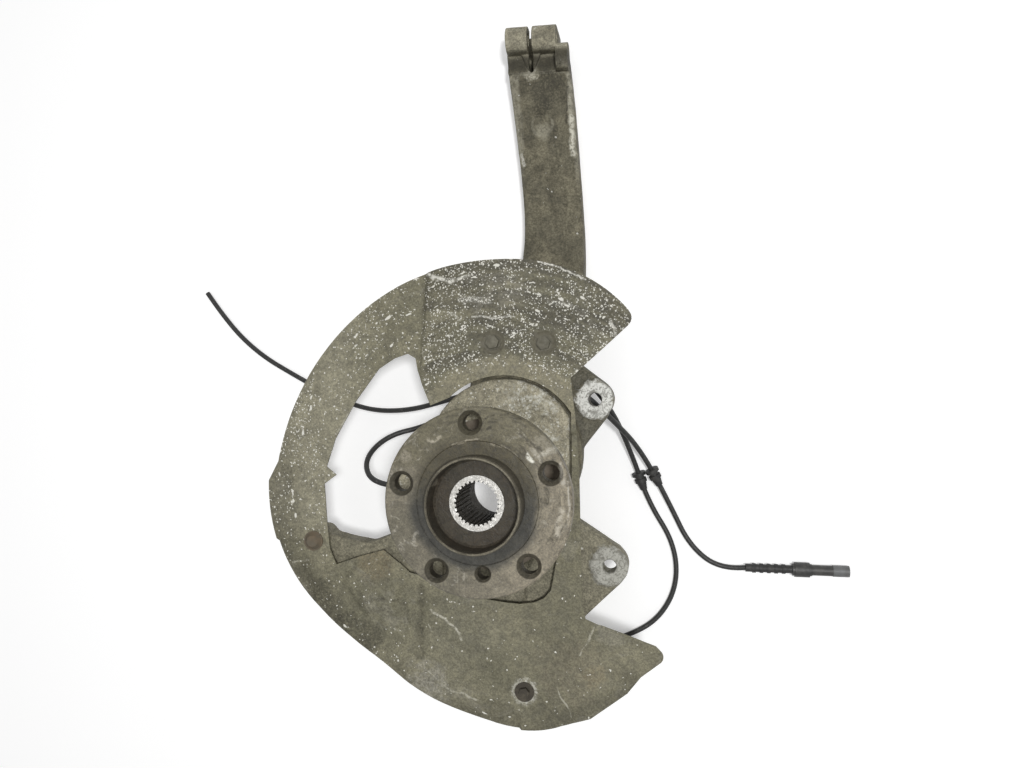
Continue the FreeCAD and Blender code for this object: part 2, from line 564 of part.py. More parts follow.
def dust_shield():
    """Pressed sheet with its kidney window, pads and torn lower corner."""
    z = -120.0
    edges = [curve([(x, y, z) for x, y in RIM])]
    corner = [RIM[-1]] + list(NOTCH)
    edges += [Part.makeLine(V(*a, z), V(*b, z)) for a, b in zip(corner, corner[1:])]
    edges.append(curve([(x, y, z) for x, y in LOW_RIM]))
    edges.append(Part.makeLine(V(*LOW_RIM[-1], z), V(*RIM[0], z)))
    outer = Part.Face(Part.Wire(edges)).extrude(V(0, 0, 60))

    gap_r = DISC_R + OPENING_GAP
    arc = [(DISC_X + gap_r * math.cos(a), DISC_Y + gap_r * math.sin(a)) for a in
           (math.radians(134), math.radians(85), math.radians(33))]
    side = [arc[2], (CARRIER_R + 1.2, 45), (CARRIER_R + 1.2, 0)] + list(LOWER_EDGE) + [WINDOW[0]]
    edges = [Part.makeLine(V(*a, z), V(*b, z)) for a, b in zip(WINDOW, WINDOW[1:])]
    edges.append(Part.makeLine(V(*WINDOW[-1], z), V(*arc[0], z)))
    edges.append(Part.Arc(V(*arc[0], z), V(*arc[1], z), V(*arc[2], z)).toShape())
    edges += [Part.makeLine(V(*a, z), V(*b, z)) for a, b in zip(side, side[1:])]
    inner = Part.Face(Part.Wire(edges)).extrude(V(0, 0, 60))

    skin = less(sheet_core(0.0), [sheet_core(SHEET)])
    sheet = skin.common(less(outer, [inner]))
    screws = [turn_z(SCREW_R + BOLT_GAP, PAD_Z + 1, SHIELD_Z - 10, x, y)
              for x, y in UPPER_BOLTS + (LEFT_BOLT, LOWER_BOLT)]
    return less(sheet, screws)


def screw(x, y, seat_z, across_flats, collar_r, head_height):
    """Hexagon screw with a collar, seated on the sheet."""
    parts = [turn_z(SCREW_R, seat_z, seat_z - SCREW_LENGTH, x, y),
             turn_z(collar_r, seat_z, seat_z + 1.2, x, y)]
    if across_flats:
        parts.append(hexagon(across_flats, seat_z + 1.2, seat_z + head_height, x, y))
    else:
        parts.append(Part.makeCone(collar_r - 1, collar_r * 0.55, head_height - 1.2, V(x, y, seat_z + 1.2)))
    return joined(parts)


# ---- speed sensor and leads ----
def speed_sensor():
    """Speed sensor pushed into the knuckle beside the signal ring."""
    face = SENSOR_FACE_X
    tip = rod(SENSOR_R, (face, 0, SENSOR_Z), (-ENCODER_R - SENSOR_AIR_GAP, 0, SENSOR_Z))
    plate = block(face - 4, face, -9, 21, SENSOR_Z - 9, SENSOR_Z + 5)
    head = rod(7.5, (face - 4, 0, SENSOR_Z), (face - 10, 0, SENSOR_Z))
    neck = rod(4.2, (face - 10, 0, SENSOR_Z), (face - 12, 0, SENSOR_Z))
    hole = rod(2.8, (face - 5, 14, SENSOR_Z), (face + 1, 14, SENSOR_Z))
    return less(joined([tip, plate, head, neck]), [hole])


def sensor_bolt():
    """Small bolt through the sensor's plate."""
    face = SENSOR_FACE_X - 4
    return joined([rod(2.5, (face, 14, SENSOR_Z), (face + 16, 14, SENSOR_Z)),
                   rod(4.4, (face - 4.5, 14, SENSOR_Z), (face, 14, SENSOR_Z))])


def clip_middle_y():
    """Y of the clip's fixing, between its two leads."""
    return (CLIP_WEAR[0] + CLIP_SENSOR[0]) / 2


def cable_clip():
    """Moulded clip under the arm's root, holding both leads."""
    x0, x1 = CLIP_X - CLIP_LENGTH / 2, CLIP_X + CLIP_LENGTH / 2
    wall = LEAD_D / 2 + 2.5
    sleeves = [rod(wall, (x0, y, z), (x1, y, z)) for y, z in (CLIP_WEAR, CLIP_SENSOR)]
    low_z = CLIP_SENSOR[1] - wall
    sleeves.append(block(CLIP_X - 8, CLIP_X + 8, CLIP_WEAR[0], CLIP_SENSOR[0], low_z + 4, CLIP_SEAT_Z))
    hole = LEAD_D / 2 + LEAD_HOLE_GAP
    cutters = [rod(hole, (x0 - 1, y, z), (x1 + 1, y, z)) for y, z in (CLIP_WEAR, CLIP_SENSOR)]
    cutters.append(block(CLIP_X - 30, CLIP_X + 30, CLIP_WEAR[0] - 20, CLIP_SENSOR[0] + 20,
                         CLIP_SEAT_Z, CLIP_SEAT_Z + 20))
    middle = clip_middle_y()
    cutters.append(turn_z(2.5 + FIT_GAP, CLIP_SEAT_Z + 1, low_z - 5, CLIP_X, middle))
    cutters.append(turn_z(4.4, low_z + 4, low_z - 5, CLIP_X, middle))
    return less(joined(sleeves), cutters)


def clip_bolt():
    """Bolt that holds the clip to its pad."""
    low_z, middle = CLIP_SENSOR[1] - LEAD_D / 2 + 1.5 - FIT_GAP, clip_middle_y()
    return joined([turn_z(2.5, CLIP_SEAT_Z + 12, low_z, CLIP_X, middle),
                   hexagon(7.0, low_z - 3.5, low_z, CLIP_X, middle)])


def on_run(points, index, share=0.5):
    """Point and direction on one straight run of a lead."""
    a, b = V(*points[index]), V(*points[index + 1])
    return a + (b - a) * share, (b - a).normalize()


def grommet(points, index, share, side):
    """Rubber grommet moulded on a lead: a waisted body with two flanges and a tail on one side."""
    middle, along = on_run(points, index, share)
    along = along * side
    start, half = middle - along * (GROMMET_LENGTH / 2), GROMMET_LENGTH / 2
    body = Part.makeCylinder(GROMMET_R - 2.2, GROMMET_LENGTH, start, along)
    flanges = [Part.makeCylinder(GROMMET_R, 3.0, start, along),
               Part.makeCylinder(GROMMET_R - 0.8, 3.5, start + along * half, along)]
    tail = Part.makeCone(GROMMET_R - 2.4, LEAD_D / 2 + 0.8, 5.0, start + along * GROMMET_LENGTH, along)
    return less(joined([body] + flanges + [tail]), [tube(points, LEAD_D + 2 * LEAD_HOLE_GAP)[0]])


def along_x(radius, x0, x1, y=CONNECTOR_Y):
    """Cylinder along X at the connector's height."""
    return rod(radius, (x0, y, CONNECTOR_Z), (x1, y, CONNECTOR_Z))


def connector_boot():
    """Ribbed rubber boot behind the wear lead's connector."""
    ribs = [along_x(4.3, BOOT_X + 6 + 6.5 * i, BOOT_X + 9 + 6.5 * i) for i in range(5)]
    return joined([along_x(3.6, BOOT_X, BOOT_END_X)] + ribs)


def connector_body():
    """Connector shell with its swollen latch part."""
    swell = along_x(6.6, BOOT_END_X + 2, SWELL_END_X - 2)
    return joined([along_x(5.4, BOOT_END_X, SWELL_END_X), swell, along_x(4.7, SWELL_END_X, BODY_END_X)])


def connector_end():
    """Grey end of the connector with its socket."""
    sleeve = along_x(5.1, BODY_END_X, CONNECTOR_END_X)
    return less(sleeve, [along_x(3.4, CONNECTOR_END_X - 8, CONNECTOR_END_X + 1)])


def sensor_plug():
    """Connector at the end of the sensor's lead, under the shield."""
    shell = along_x(6.4, SENSOR_PLUG_END_X + 12, SENSOR_PLUG_X - 12, SENSOR_PLUG_Y)
    neck = along_x(4.0, SENSOR_PLUG_X - 12, SENSOR_PLUG_X, SENSOR_PLUG_Y)
    nose = along_x(5.2, SENSOR_PLUG_END_X, SENSOR_PLUG_END_X + 12, SENSOR_PLUG_Y)
    socket = along_x(3.6, SENSOR_PLUG_END_X - 1, SENSOR_PLUG_END_X + 8, SENSOR_PLUG_Y)
    return less(joined([shell, neck, nose]), [socket])


if __name__ == "__main__":
    pieces = {
        "hub": hub(),
        "bearing_outer_ring": bearing_outer_ring(),
        "bearing_inner_ring": bearing_inner_ring(),
        "outboard_balls": Part.makeCompound(balls(ROW_OUT_Z)),
        "inboard_balls": Part.makeCompound(balls(ROW_IN_Z)),
        "outboard_cage": cage(ROW_OUT_Z),
        "inboard_cage": cage(ROW_IN_Z),
        "outboard_seal": seal(RING_FRONT_Z),
        "encoder_ring": encoder_ring(),
        "bearing_bolts": Part.makeCompound(bearing_bolts()),
        **knuckle_regions(),
        "dust_shield": dust_shield(),
        "shield_screws": Part.makeCompound([screw(x, y, PAD_Z - DIMPLE_DEPTH, 10.0, 6.6, 6.0)
                                            for x, y in UPPER_BOLTS]),
        "shield_rivet_left": screw(*LEFT_BOLT, SHIELD_Z, 0, 8.6, 4.0),
        "shield_screw_lower": screw(*LOWER_BOLT, SHIELD_Z, 8.0, 8.2, 4.4),
        "speed_sensor": speed_sensor(),
        "sensor_bolt": sensor_bolt(),
        "cable_clip": cable_clip(),
        "clip_bolt": clip_bolt(),
        "wear_lead_outer": lead("wear_lead_outer", WEAR_LEAD_OUTER, LEAD_D),
        "wear_lead_inner": lead("wear_lead_inner", WEAR_LEAD_INNER, LEAD_D),
        "sensor_lead": lead("sensor_lead", SENSOR_LEAD, LEAD_D),
        "wear_grommet": grommet(WEAR_LEAD_OUTER, 3, 0.46, 1),
        "sensor_grommet": grommet(SENSOR_LEAD, 9, 0.5, 1),
        "connector_boot": connector_boot(),
        "connector_body": connector_body(),
        "connector_end": connector_end(),
        "sensor_plug": sensor_plug(),
    }
    for name, shape in pieces.items():
        print(name, "solids", len(shape.Solids), "valid", shape.isValid(),
              "volume", round(shape.Volume / 1000, 1))
        shape.exportStep(f"parts/{name}.step")
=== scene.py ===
"""Dresses the wheel hub, knuckle, dust shield and leads as the used part looks.

All lengths are metres in the frame of the CAD parts: the origin is the centre of the
hub's mounting face, +Z is the hub axis pointing up, and +Y runs along the upper arm.
"""
import logging
import math
from dataclasses import dataclass
from enum import Enum
from typing import Optional, Sequence, Union

import bmesh
import bpy
from mathutils import Matrix, Vector, noise


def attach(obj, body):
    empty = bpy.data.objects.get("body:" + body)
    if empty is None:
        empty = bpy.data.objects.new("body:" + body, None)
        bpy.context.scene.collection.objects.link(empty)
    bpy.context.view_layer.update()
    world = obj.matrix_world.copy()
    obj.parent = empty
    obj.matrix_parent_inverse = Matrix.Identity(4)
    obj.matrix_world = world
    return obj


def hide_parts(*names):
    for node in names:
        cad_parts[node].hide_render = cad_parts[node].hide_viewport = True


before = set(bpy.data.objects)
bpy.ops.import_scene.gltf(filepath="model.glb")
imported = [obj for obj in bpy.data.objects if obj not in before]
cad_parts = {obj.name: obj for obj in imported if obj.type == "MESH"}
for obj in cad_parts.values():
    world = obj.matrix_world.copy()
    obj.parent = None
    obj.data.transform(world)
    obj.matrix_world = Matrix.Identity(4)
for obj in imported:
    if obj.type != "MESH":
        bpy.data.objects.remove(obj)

logging.basicConfig(level=logging.INFO, format="%(message)s")
LOG = logging.getLogger("wheel_hub")

Colour = tuple[float, float, float]
Point = tuple[float, float, float]
Output = bpy.types.NodeSocket
Node = bpy.types.Node
Tree = bpy.types.NodeTree
Material = bpy.types.Material
Piece = bpy.types.Object
Mesh = bmesh.types.BMesh
Span = tuple[float, float]
Socket = Union[Output, float, Sequence[float]]

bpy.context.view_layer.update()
MM = 0.001
WELD = 1e-6
FLOOR_Z = -0.188
CARRIER = "carrier"
FLAT = (1.0, 1.0, 0.0)
AXIS = (0.0, 0.0, 0.0)
MIDDLE = (0.5, 0.5, 0.5)
VECTOR, NUMBER = "NodeSocketVector", "NodeSocketFloat"


def srgb(red: int, green: int, blue: int) -> Colour:
    """Turn a colour given as 0 to 255 screen values into linear light."""
    def one(value: int) -> float:
        share = value / 255.0
        return share / 12.92 if share <= 0.04045 else ((share + 0.055) / 1.055) ** 2.4
    return (one(red), one(green), one(blue))


# ---------------------------------------------------------------- shader building
class Graph:
    """A small typed layer over one node tree."""

    def __init__(self, tree: Tree) -> None:
        """Keep the tree and start it empty of nodes."""
        self.tree = tree
        tree.nodes.clear()

    def put(self, socket: Output, value: Socket) -> None:
        """Link a socket to the given one, or set it to a constant."""
        if isinstance(value, Output):
            self.tree.links.new(value, socket)
        elif isinstance(value, (int, float)):
            socket.default_value = value
        elif socket.type == "RGBA" and len(value) == 3:
            socket.default_value = (*value, 1.0)
        else:
            socket.default_value = tuple(value)

    def node(self, kind: str, inputs: Optional[dict[Union[str, int], Socket]] = None,
             **settings: object) -> Node:
        """Add a node.

        Args:
            kind: Blender's name of the node type.
            inputs: Values or sockets for its inputs, by name or index.
            settings: Attributes of the node itself.

        Returns:
            The new node.
        """
        made = self.tree.nodes.new(kind)
        for name, value in settings.items():
            setattr(made, name, value)
        for name, value in (inputs or {}).items():
            self.put(made.inputs[name], value)
        return made

    def calc(self, operation: str, a: Socket, b: Socket = 0.0, clamp: bool = False) -> Output:
        """Combine two numbers with a math node."""
        return self.node("ShaderNodeMath", {0: a, 1: b}, operation=operation, use_clamp=clamp).outputs[0]

    def times(self, a: Socket, b: Socket) -> Output:
        """Multiply two numbers."""
        return self.calc("MULTIPLY", a, b)

    def plus(self, a: Socket, b: Socket) -> Output:
        """Add two numbers."""
        return self.calc("ADD", a, b)

    def less(self, a: Socket, b: Socket) -> Output:
        """Take the second number from the first."""
        return self.calc("SUBTRACT", a, b)

    def most(self, a: Socket, b: Socket) -> Output:
        """The larger of two numbers."""
        return self.calc("MAXIMUM", a, b)

    def sway(self, value: Socket, reach: Socket) -> Output:
        """Swing a zero to one value about zero, over the given reach."""
        return self.times(self.less(value, 0.5), reach)

    def shrink(self, vector: Socket, share: Socket) -> Output:
        """Scale a vector."""
        return self.node("ShaderNodeVectorMath", {0: vector, 3: share}, operation="SCALE").outputs[0]

    def lay(self, under: Socket, mask: Socket, strength: Socket, over: Socket) -> Output:
        """Lay one colour over another, through a mask at a strength."""
        return self.mix(self.times(mask, strength), under, over)

    def fade(self, value: Socket, low: float, high: float, start: float = 0.0, end: float = 1.0) -> Output:
        """Map a value smoothly from one range to another."""
        made = self.node("ShaderNodeMapRange", {0: value, 1: low, 2: high, 3: start, 4: end},
                         interpolation_type="SMOOTHSTEP")
        return made.outputs[0]

    def mix(self, share: Socket, first: Socket, second: Socket, blend: str = "MIX") -> Output:
        """Mix two colours by a share."""
        made = self.node("ShaderNodeMix", {0: share, 6: first, 7: second}, data_type="RGBA", blend_type=blend)
        return made.outputs[2]

    def cloud(self, vector: Socket, scale: float, detail: float = 4.0, rough: float = 0.55,
              distort: float = 0.0) -> Output:
        """Noise value over a vector."""
        made = self.node("ShaderNodeTexNoise", {"Vector": vector, "Scale": scale, "Detail": detail,
                                                "Roughness": rough, "Distortion": distort})
        return made.outputs["Fac"]

    def vector(self, operation: str, a: Socket, b: Socket) -> Output:
        """Combine two vectors with a vector node."""
        return self.node("ShaderNodeVectorMath", {0: a, 1: b}, operation=operation).outputs[0]

    def length(self, vector: Socket) -> Output:
        """Length of a vector."""
        return self.node("ShaderNodeVectorMath", {0: vector}, operation="LENGTH").outputs["Value"]

    def dot(self, a: Socket, b: Socket) -> Output:
        """Dot product of two vectors."""
        return self.node("ShaderNodeVectorMath", {0: a, 1: b}, operation="DOT_PRODUCT").outputs["Value"]

    def place(self) -> Output:
        """Object coordinates, in metres."""
        return self.node("ShaderNodeTexCoord").outputs["Object"]

    def split(self, vector: Socket) -> tuple[Output, Output, Output]:
        """The three numbers of a vector."""
        made = self.node("ShaderNodeSeparateXYZ", {0: vector})
        return made.outputs[0], made.outputs[1], made.outputs[2]

    def group(self, tree: Tree, inputs: dict[str, Socket]) -> Node:
        """Add a shared effect with its own values."""
        made = self.tree.nodes.new("ShaderNodeGroup")
        made.node_tree = tree
        for name, value in inputs.items():
            self.put(made.inputs[name], value)
        return made


@dataclass(frozen=True)
class Cloud:
    """A cloudy mask: its noise, the part of the noise that it spreads over, and its two ends."""

    scale: float
    detail: float
    rough: float
    distort: float
    low: float
    high: float
    start: float = 0.0
    end: float = 1.0

    def mask(self, graph: Graph, vector: Socket) -> Output:
        """Build the mask over a vector."""
        value = graph.cloud(vector, self.scale, self.detail, self.rough, self.distort)
        return graph.fade(value, self.low, self.high, self.start, self.end)


class Effects:
    """Shared surface effects, each a node group that is built once."""

    tones = {
        "Fine": Cloud(560.0, 3.0, 0.8, 0.0, 0.36, 0.64),
        "Middle": Cloud(130.0, 5.0, 0.7, 0.5, 0.36, 0.64),
        "Broad": Cloud(30.0, 4.0, 0.55, 0.8, 0.32, 0.68),
        "Soft": Cloud(13.0, 2.0, 0.45, 0.5, 0.32, 0.68),
        "Pits": Cloud(300.0, 4.0, 0.7, 0.0, 0.60, 0.70),
    }
    holes = Cloud(480.0, 3.0, 0.7, 0.0, 0.40, 0.54, 0.25, 1.0)
    broken = Cloud(260.0, 3.0, 0.7, 0.0, 0.40, 0.56, 0.2, 1.0)
    speckled = Cloud(620.0, 3.0, 0.85, 0.0, 0.51, 0.57)

    def __init__(self) -> None:
        """Build every group."""
        self.grit = self._grit()
        self.specks = self._specks()
        self.spot = self._spot()
        self.stroke = self._stroke()
        self.reach = self._reach()
        self.polar = self._polar()

    def away(self, graph: Graph, place: Socket, centre: Point) -> Output:
        """Distance in plan from a point."""
        return graph.group(self.reach, {"Vector": place, "Centre": centre}).outputs["Distance"]

    def round_axis(self, graph: Graph, place: Socket) -> Output:
        """Coordinates that run round the hub axis."""
        return graph.group(self.polar, {"Vector": place}).outputs["Vector"]

    def chips(self, graph: Graph, place: Socket, scale: float, size: float, density: Socket) -> Output:
        """Mask of small chips or spots."""
        return graph.group(self.specks, {"Vector": place, "Scale": scale, "Size": size,
                                         "Density": density}).outputs["Mask"]

    @staticmethod
    def _new(name: str, inputs: Sequence[tuple[str, str, object]],
             outputs: Sequence[tuple[str, str]]) -> tuple[Tree, Graph, Node, Node]:
        """Start a group with named sockets.

        Args:
            name: The group's name.
            inputs: Name, socket type and default of each input.
            outputs: Name and socket type of each output.

        Returns:
            The tree, its graph, its input node and its output node.
        """
        tree = bpy.data.node_groups.new(name, "ShaderNodeTree")
        for label, kind, default in inputs:
            made = tree.interface.new_socket(label, in_out="INPUT", socket_type=kind)
            if default is not None:
                made.default_value = default
        for label, kind in outputs:
            tree.interface.new_socket(label, in_out="OUTPUT", socket_type=kind)
        graph = Graph(tree)
        return tree, graph, graph.node("NodeGroupInput"), graph.node("NodeGroupOutput")

    def _grit(self) -> Tree:
        """Uneven tone in four sizes, each spread from zero to one, and small pits."""
        outputs = [(name, NUMBER) for name in self.tones]
        tree, g, start, end = self._new("grit", [("Vector", VECTOR, None)], outputs)
        for name, tone in self.tones.items():
            g.put(end.inputs[name], tone.mask(g, start.outputs["Vector"]))
        return tree

    def _specks(self) -> Tree:
        """Small chips or spots of mixed sizes, kept where the density is high."""
        tree, g, start, end = self._new(
            "specks", [("Vector", VECTOR, None), ("Scale", NUMBER, 150.0), ("Size", NUMBER, 0.3),
                       ("Density", NUMBER, 0.5)], [("Mask", NUMBER)])
        place = start.outputs["Vector"]
        wobble = g.node("ShaderNodeTexNoise", {"Vector": place, "Scale": 420.0, "Detail": 2.0})
        small = g.shrink(g.vector("SUBTRACT", wobble.outputs["Color"], MIDDLE), 0.003)
        cells = g.node("ShaderNodeTexVoronoi", {"Vector": g.vector("ADD", place, small),
                                                "Scale": start.outputs["Scale"], "Randomness": 1.0})
        lot = g.node("ShaderNodeSeparateColor", {0: cells.outputs["Color"]})
        reach = g.times(start.outputs["Size"], g.fade(lot.outputs[0], 0.0, 1.0, 0.25, 1.0))
        dot = g.fade(g.less(reach, cells.outputs["Distance"]), 0.0, 0.08)
        kept = g.calc("LESS_THAN", lot.outputs[1], start.outputs["Density"])
        g.put(end.inputs["Mask"], g.times(dot, kept))
        return tree

    def _reach(self) -> Tree:
        """Distance in plan from a point."""
        tree, g, start, end = self._new("plan_distance", [("Vector", VECTOR, None), ("Centre", VECTOR, None)],
                                        [("Distance", NUMBER)])
        away = g.vector("SUBTRACT", start.outputs["Vector"], start.outputs["Centre"])
        g.put(end.inputs["Distance"], g.length(g.vector("MULTIPLY", away, FLAT)))
        return tree

    def _polar(self) -> Tree:
        """Place along the arc and out from the axis, so that marks stretch round the shield."""
        tree, g, start, end = self._new("round_the_axis", [("Vector", VECTOR, None)], [("Vector", VECTOR)])
        x, y, z = g.split(start.outputs["Vector"])
        out = g.length(g.vector("MULTIPLY", start.outputs["Vector"], FLAT))
        along = g.times(g.calc("ARCTAN2", y, x), 0.10)
        made = g.node("ShaderNodeCombineXYZ", {0: along, 1: out, 2: z})
        g.put(end.inputs["Vector"], made.outputs[0])
        return tree

    def _spot(self) -> Tree:
        """Ragged patch round a point, with holes in it, for corrosion and stains."""
        tree, g, start, end = self._new(
            "ragged_spot", [("Vector", VECTOR, None), ("Centre", VECTOR, None), ("Radius", NUMBER, 0.01),
                            ("Raggedness", NUMBER, 0.6), ("Grain", NUMBER, 120.0)], [("Mask", NUMBER)])
        away = g.length(g.vector("SUBTRACT", start.outputs["Vector"], start.outputs["Centre"]))
        ragged = g.cloud(start.outputs["Vector"], start.outputs["Grain"], 5.0, 0.7)
        shift = g.sway(ragged, g.times(start.outputs["Raggedness"], 5.0))
        share = g.plus(g.calc("DIVIDE", away, start.outputs["Radius"]), shift)
        holes = self.holes.mask(g, start.outputs["Vector"])
        g.put(end.inputs["Mask"], g.times(g.fade(share, 1.15, 0.55), holes))
        return tree

    def _stroke(self) -> Tree:
        """Thin broken line between two points in plan, or a row of specks along it."""
        tree, g, start, end = self._new(
            "stroke", [("Vector", VECTOR, None), ("Start", VECTOR, None), ("End", VECTOR, None),
                       ("Width", NUMBER, 0.001), ("Dotted", NUMBER, 0.0)], [("Mask", NUMBER)])
        place = start.outputs["Vector"]
        wobble = g.node("ShaderNodeTexNoise", {"Vector": place, "Scale": 90.0, "Detail": 3.0})
        bent = g.shrink(g.vector("SUBTRACT", wobble.outputs["Color"], MIDDLE), 0.006)
        line = g.vector("MULTIPLY", g.vector("SUBTRACT", start.outputs["End"], start.outputs["Start"]), FLAT)
        off = g.vector("SUBTRACT", g.vector("ADD", place, bent), start.outputs["Start"])
        off = g.vector("MULTIPLY", off, FLAT)
        share = g.calc("DIVIDE", g.dot(off, line), g.dot(line, line), clamp=True)
        foot = g.shrink(line, share)
        away = g.calc("DIVIDE", g.length(g.vector("SUBTRACT", off, foot)), start.outputs["Width"])
        broken, speckled = self.broken.mask(g, place), self.speckled.mask(g, place)
        dotted = start.outputs["Dotted"]
        kept = g.plus(g.times(speckled, dotted),
                      g.times(broken, g.less(1.0, dotted)))
        g.put(end.inputs["Mask"], g.times(g.fade(away, 1.0, 0.2), kept))
        return tree


def new_material(name: str) -> tuple[Material, Graph, Node]:
    """Start a material with one Principled shader.

    Args:
        name: The material's name.

    Returns:
        The material, its graph and its shader node.
    """
    material = bpy.data.materials.new(name)
    material.use_nodes = True
    graph = Graph(material.node_tree)
    shader = graph.node("ShaderNodeBsdfPrincipled")
    output = graph.node("ShaderNodeOutputMaterial")
    graph.tree.links.new(shader.outputs[0], output.inputs[0])
    return material, graph, shader


def roughen(graph: Graph, shader: Node, height: Socket, strength: float, distance: float) -> None:
    """Feed a height through a bump node into a shader's normal."""
    bump = graph.node("ShaderNodeBump", {"Strength": strength, "Distance": distance, "Height": height})
    graph.put(shader.inputs["Normal"], bump.outputs[0])


def grained(graph: Graph, grit: Node, colour: Socket, fine: float, middle: float) -> Output:
    """Vary a colour by the fine and middle grit.

    Args:
        graph: The material's graph.
        grit: Its grit group.
        colour: Colour so far.
        fine: Share of the fine grain.
        middle: Share of the middle grain.

    Returns:
        The varied colour.
    """
    colour = graph.mix(middle, colour, grit.outputs["Middle"], "OVERLAY")
    return graph.mix(fine, colour, grit.outputs["Fine"], "OVERLAY")


@dataclass(frozen=True)
class Stain:
    """One ragged patch on a finish."""

    centre: Point
    radius: float
    colour: Colour
    strength: float = 1.0
    raggedness: float = 0.6
    grain: float = 120.0

    def over(self, graph: Graph, effects: Effects, place: Socket, colour: Socket) -> Output:
        """Lay the stain over a colour and return the mix."""
        mask = graph.group(effects.spot, {"Vector": place, "Centre": self.centre, "Radius": self.radius,
                                          "Raggedness": self.raggedness, "Grain": self.grain}).outputs["Mask"]
        return graph.lay(colour, mask, self.strength, self.colour)


@dataclass(frozen=True)
class Stroke:
    """One scratch, ridge line, dark seam, painted highlight or line of painted shade on a finish."""

    start: tuple[float, float]
    end: tuple[float, float]
    width: float
    colour: Colour
    strength: float = 0.8
    dotted: float = 0.0

    def over(self, graph: Graph, effects: Effects, place: Socket, colour: Socket) -> Output:
        """Lay the stroke over a colour and return the mix."""
        mask = graph.group(effects.stroke, {
            "Vector": place, "Start": (*self.start, 0.0), "End": (*self.end, 0.0),
            "Width": self.width, "Dotted": self.dotted}).outputs["Mask"]
        return graph.lay(colour, mask, self.strength, self.colour)


def lay_marks(marks: Sequence[Union[Stain, Stroke]], graph: Graph, effects: Effects, place: Socket,
              colour: Output) -> Output:
    """Lay marks over a colour, one after the other, and return the mix."""
    for mark in marks:
        colour = mark.over(graph, effects, place, colour)
    return colour


# ---------------------------------------------------------------- finishes
@dataclass(frozen=True)
class PlainFinish:
    """Even metal, rubber or plastic with a little dirt and grain."""

    name: str
    colour: Colour
    dirt: Colour
    roughness: float = 0.6
    metallic: float = 0.0
    dirt_share: float = 0.5
    grain: float = 300.0
    bump: float = 0.15

    def build(self, effects: Effects) -> Material:
        """Build the material."""
        material, g, shader = new_material(self.name)
        place = g.place()
        cloud = g.cloud(place, self.grain, 5.0, 0.65)
        dirt = g.times(g.fade(g.cloud(place, self.grain * 0.3, 5.0, 0.65), 0.42, 0.66), self.dirt_share)
        chips = effects.chips(g, place, 260.0, 0.28, 0.12)
        dirt = g.most(dirt, g.times(chips, self.dirt_share))
        g.put(shader.inputs["Base Color"], g.mix(dirt, self.colour, self.dirt))
        g.put(shader.inputs["Roughness"],
              g.fade(cloud, 0.3, 0.7, self.roughness - 0.08, self.roughness + 0.12))
        shader.inputs["Metallic"].default_value = self.metallic
        roughen(g, shader, cloud, self.bump, 0.0006)
        return material


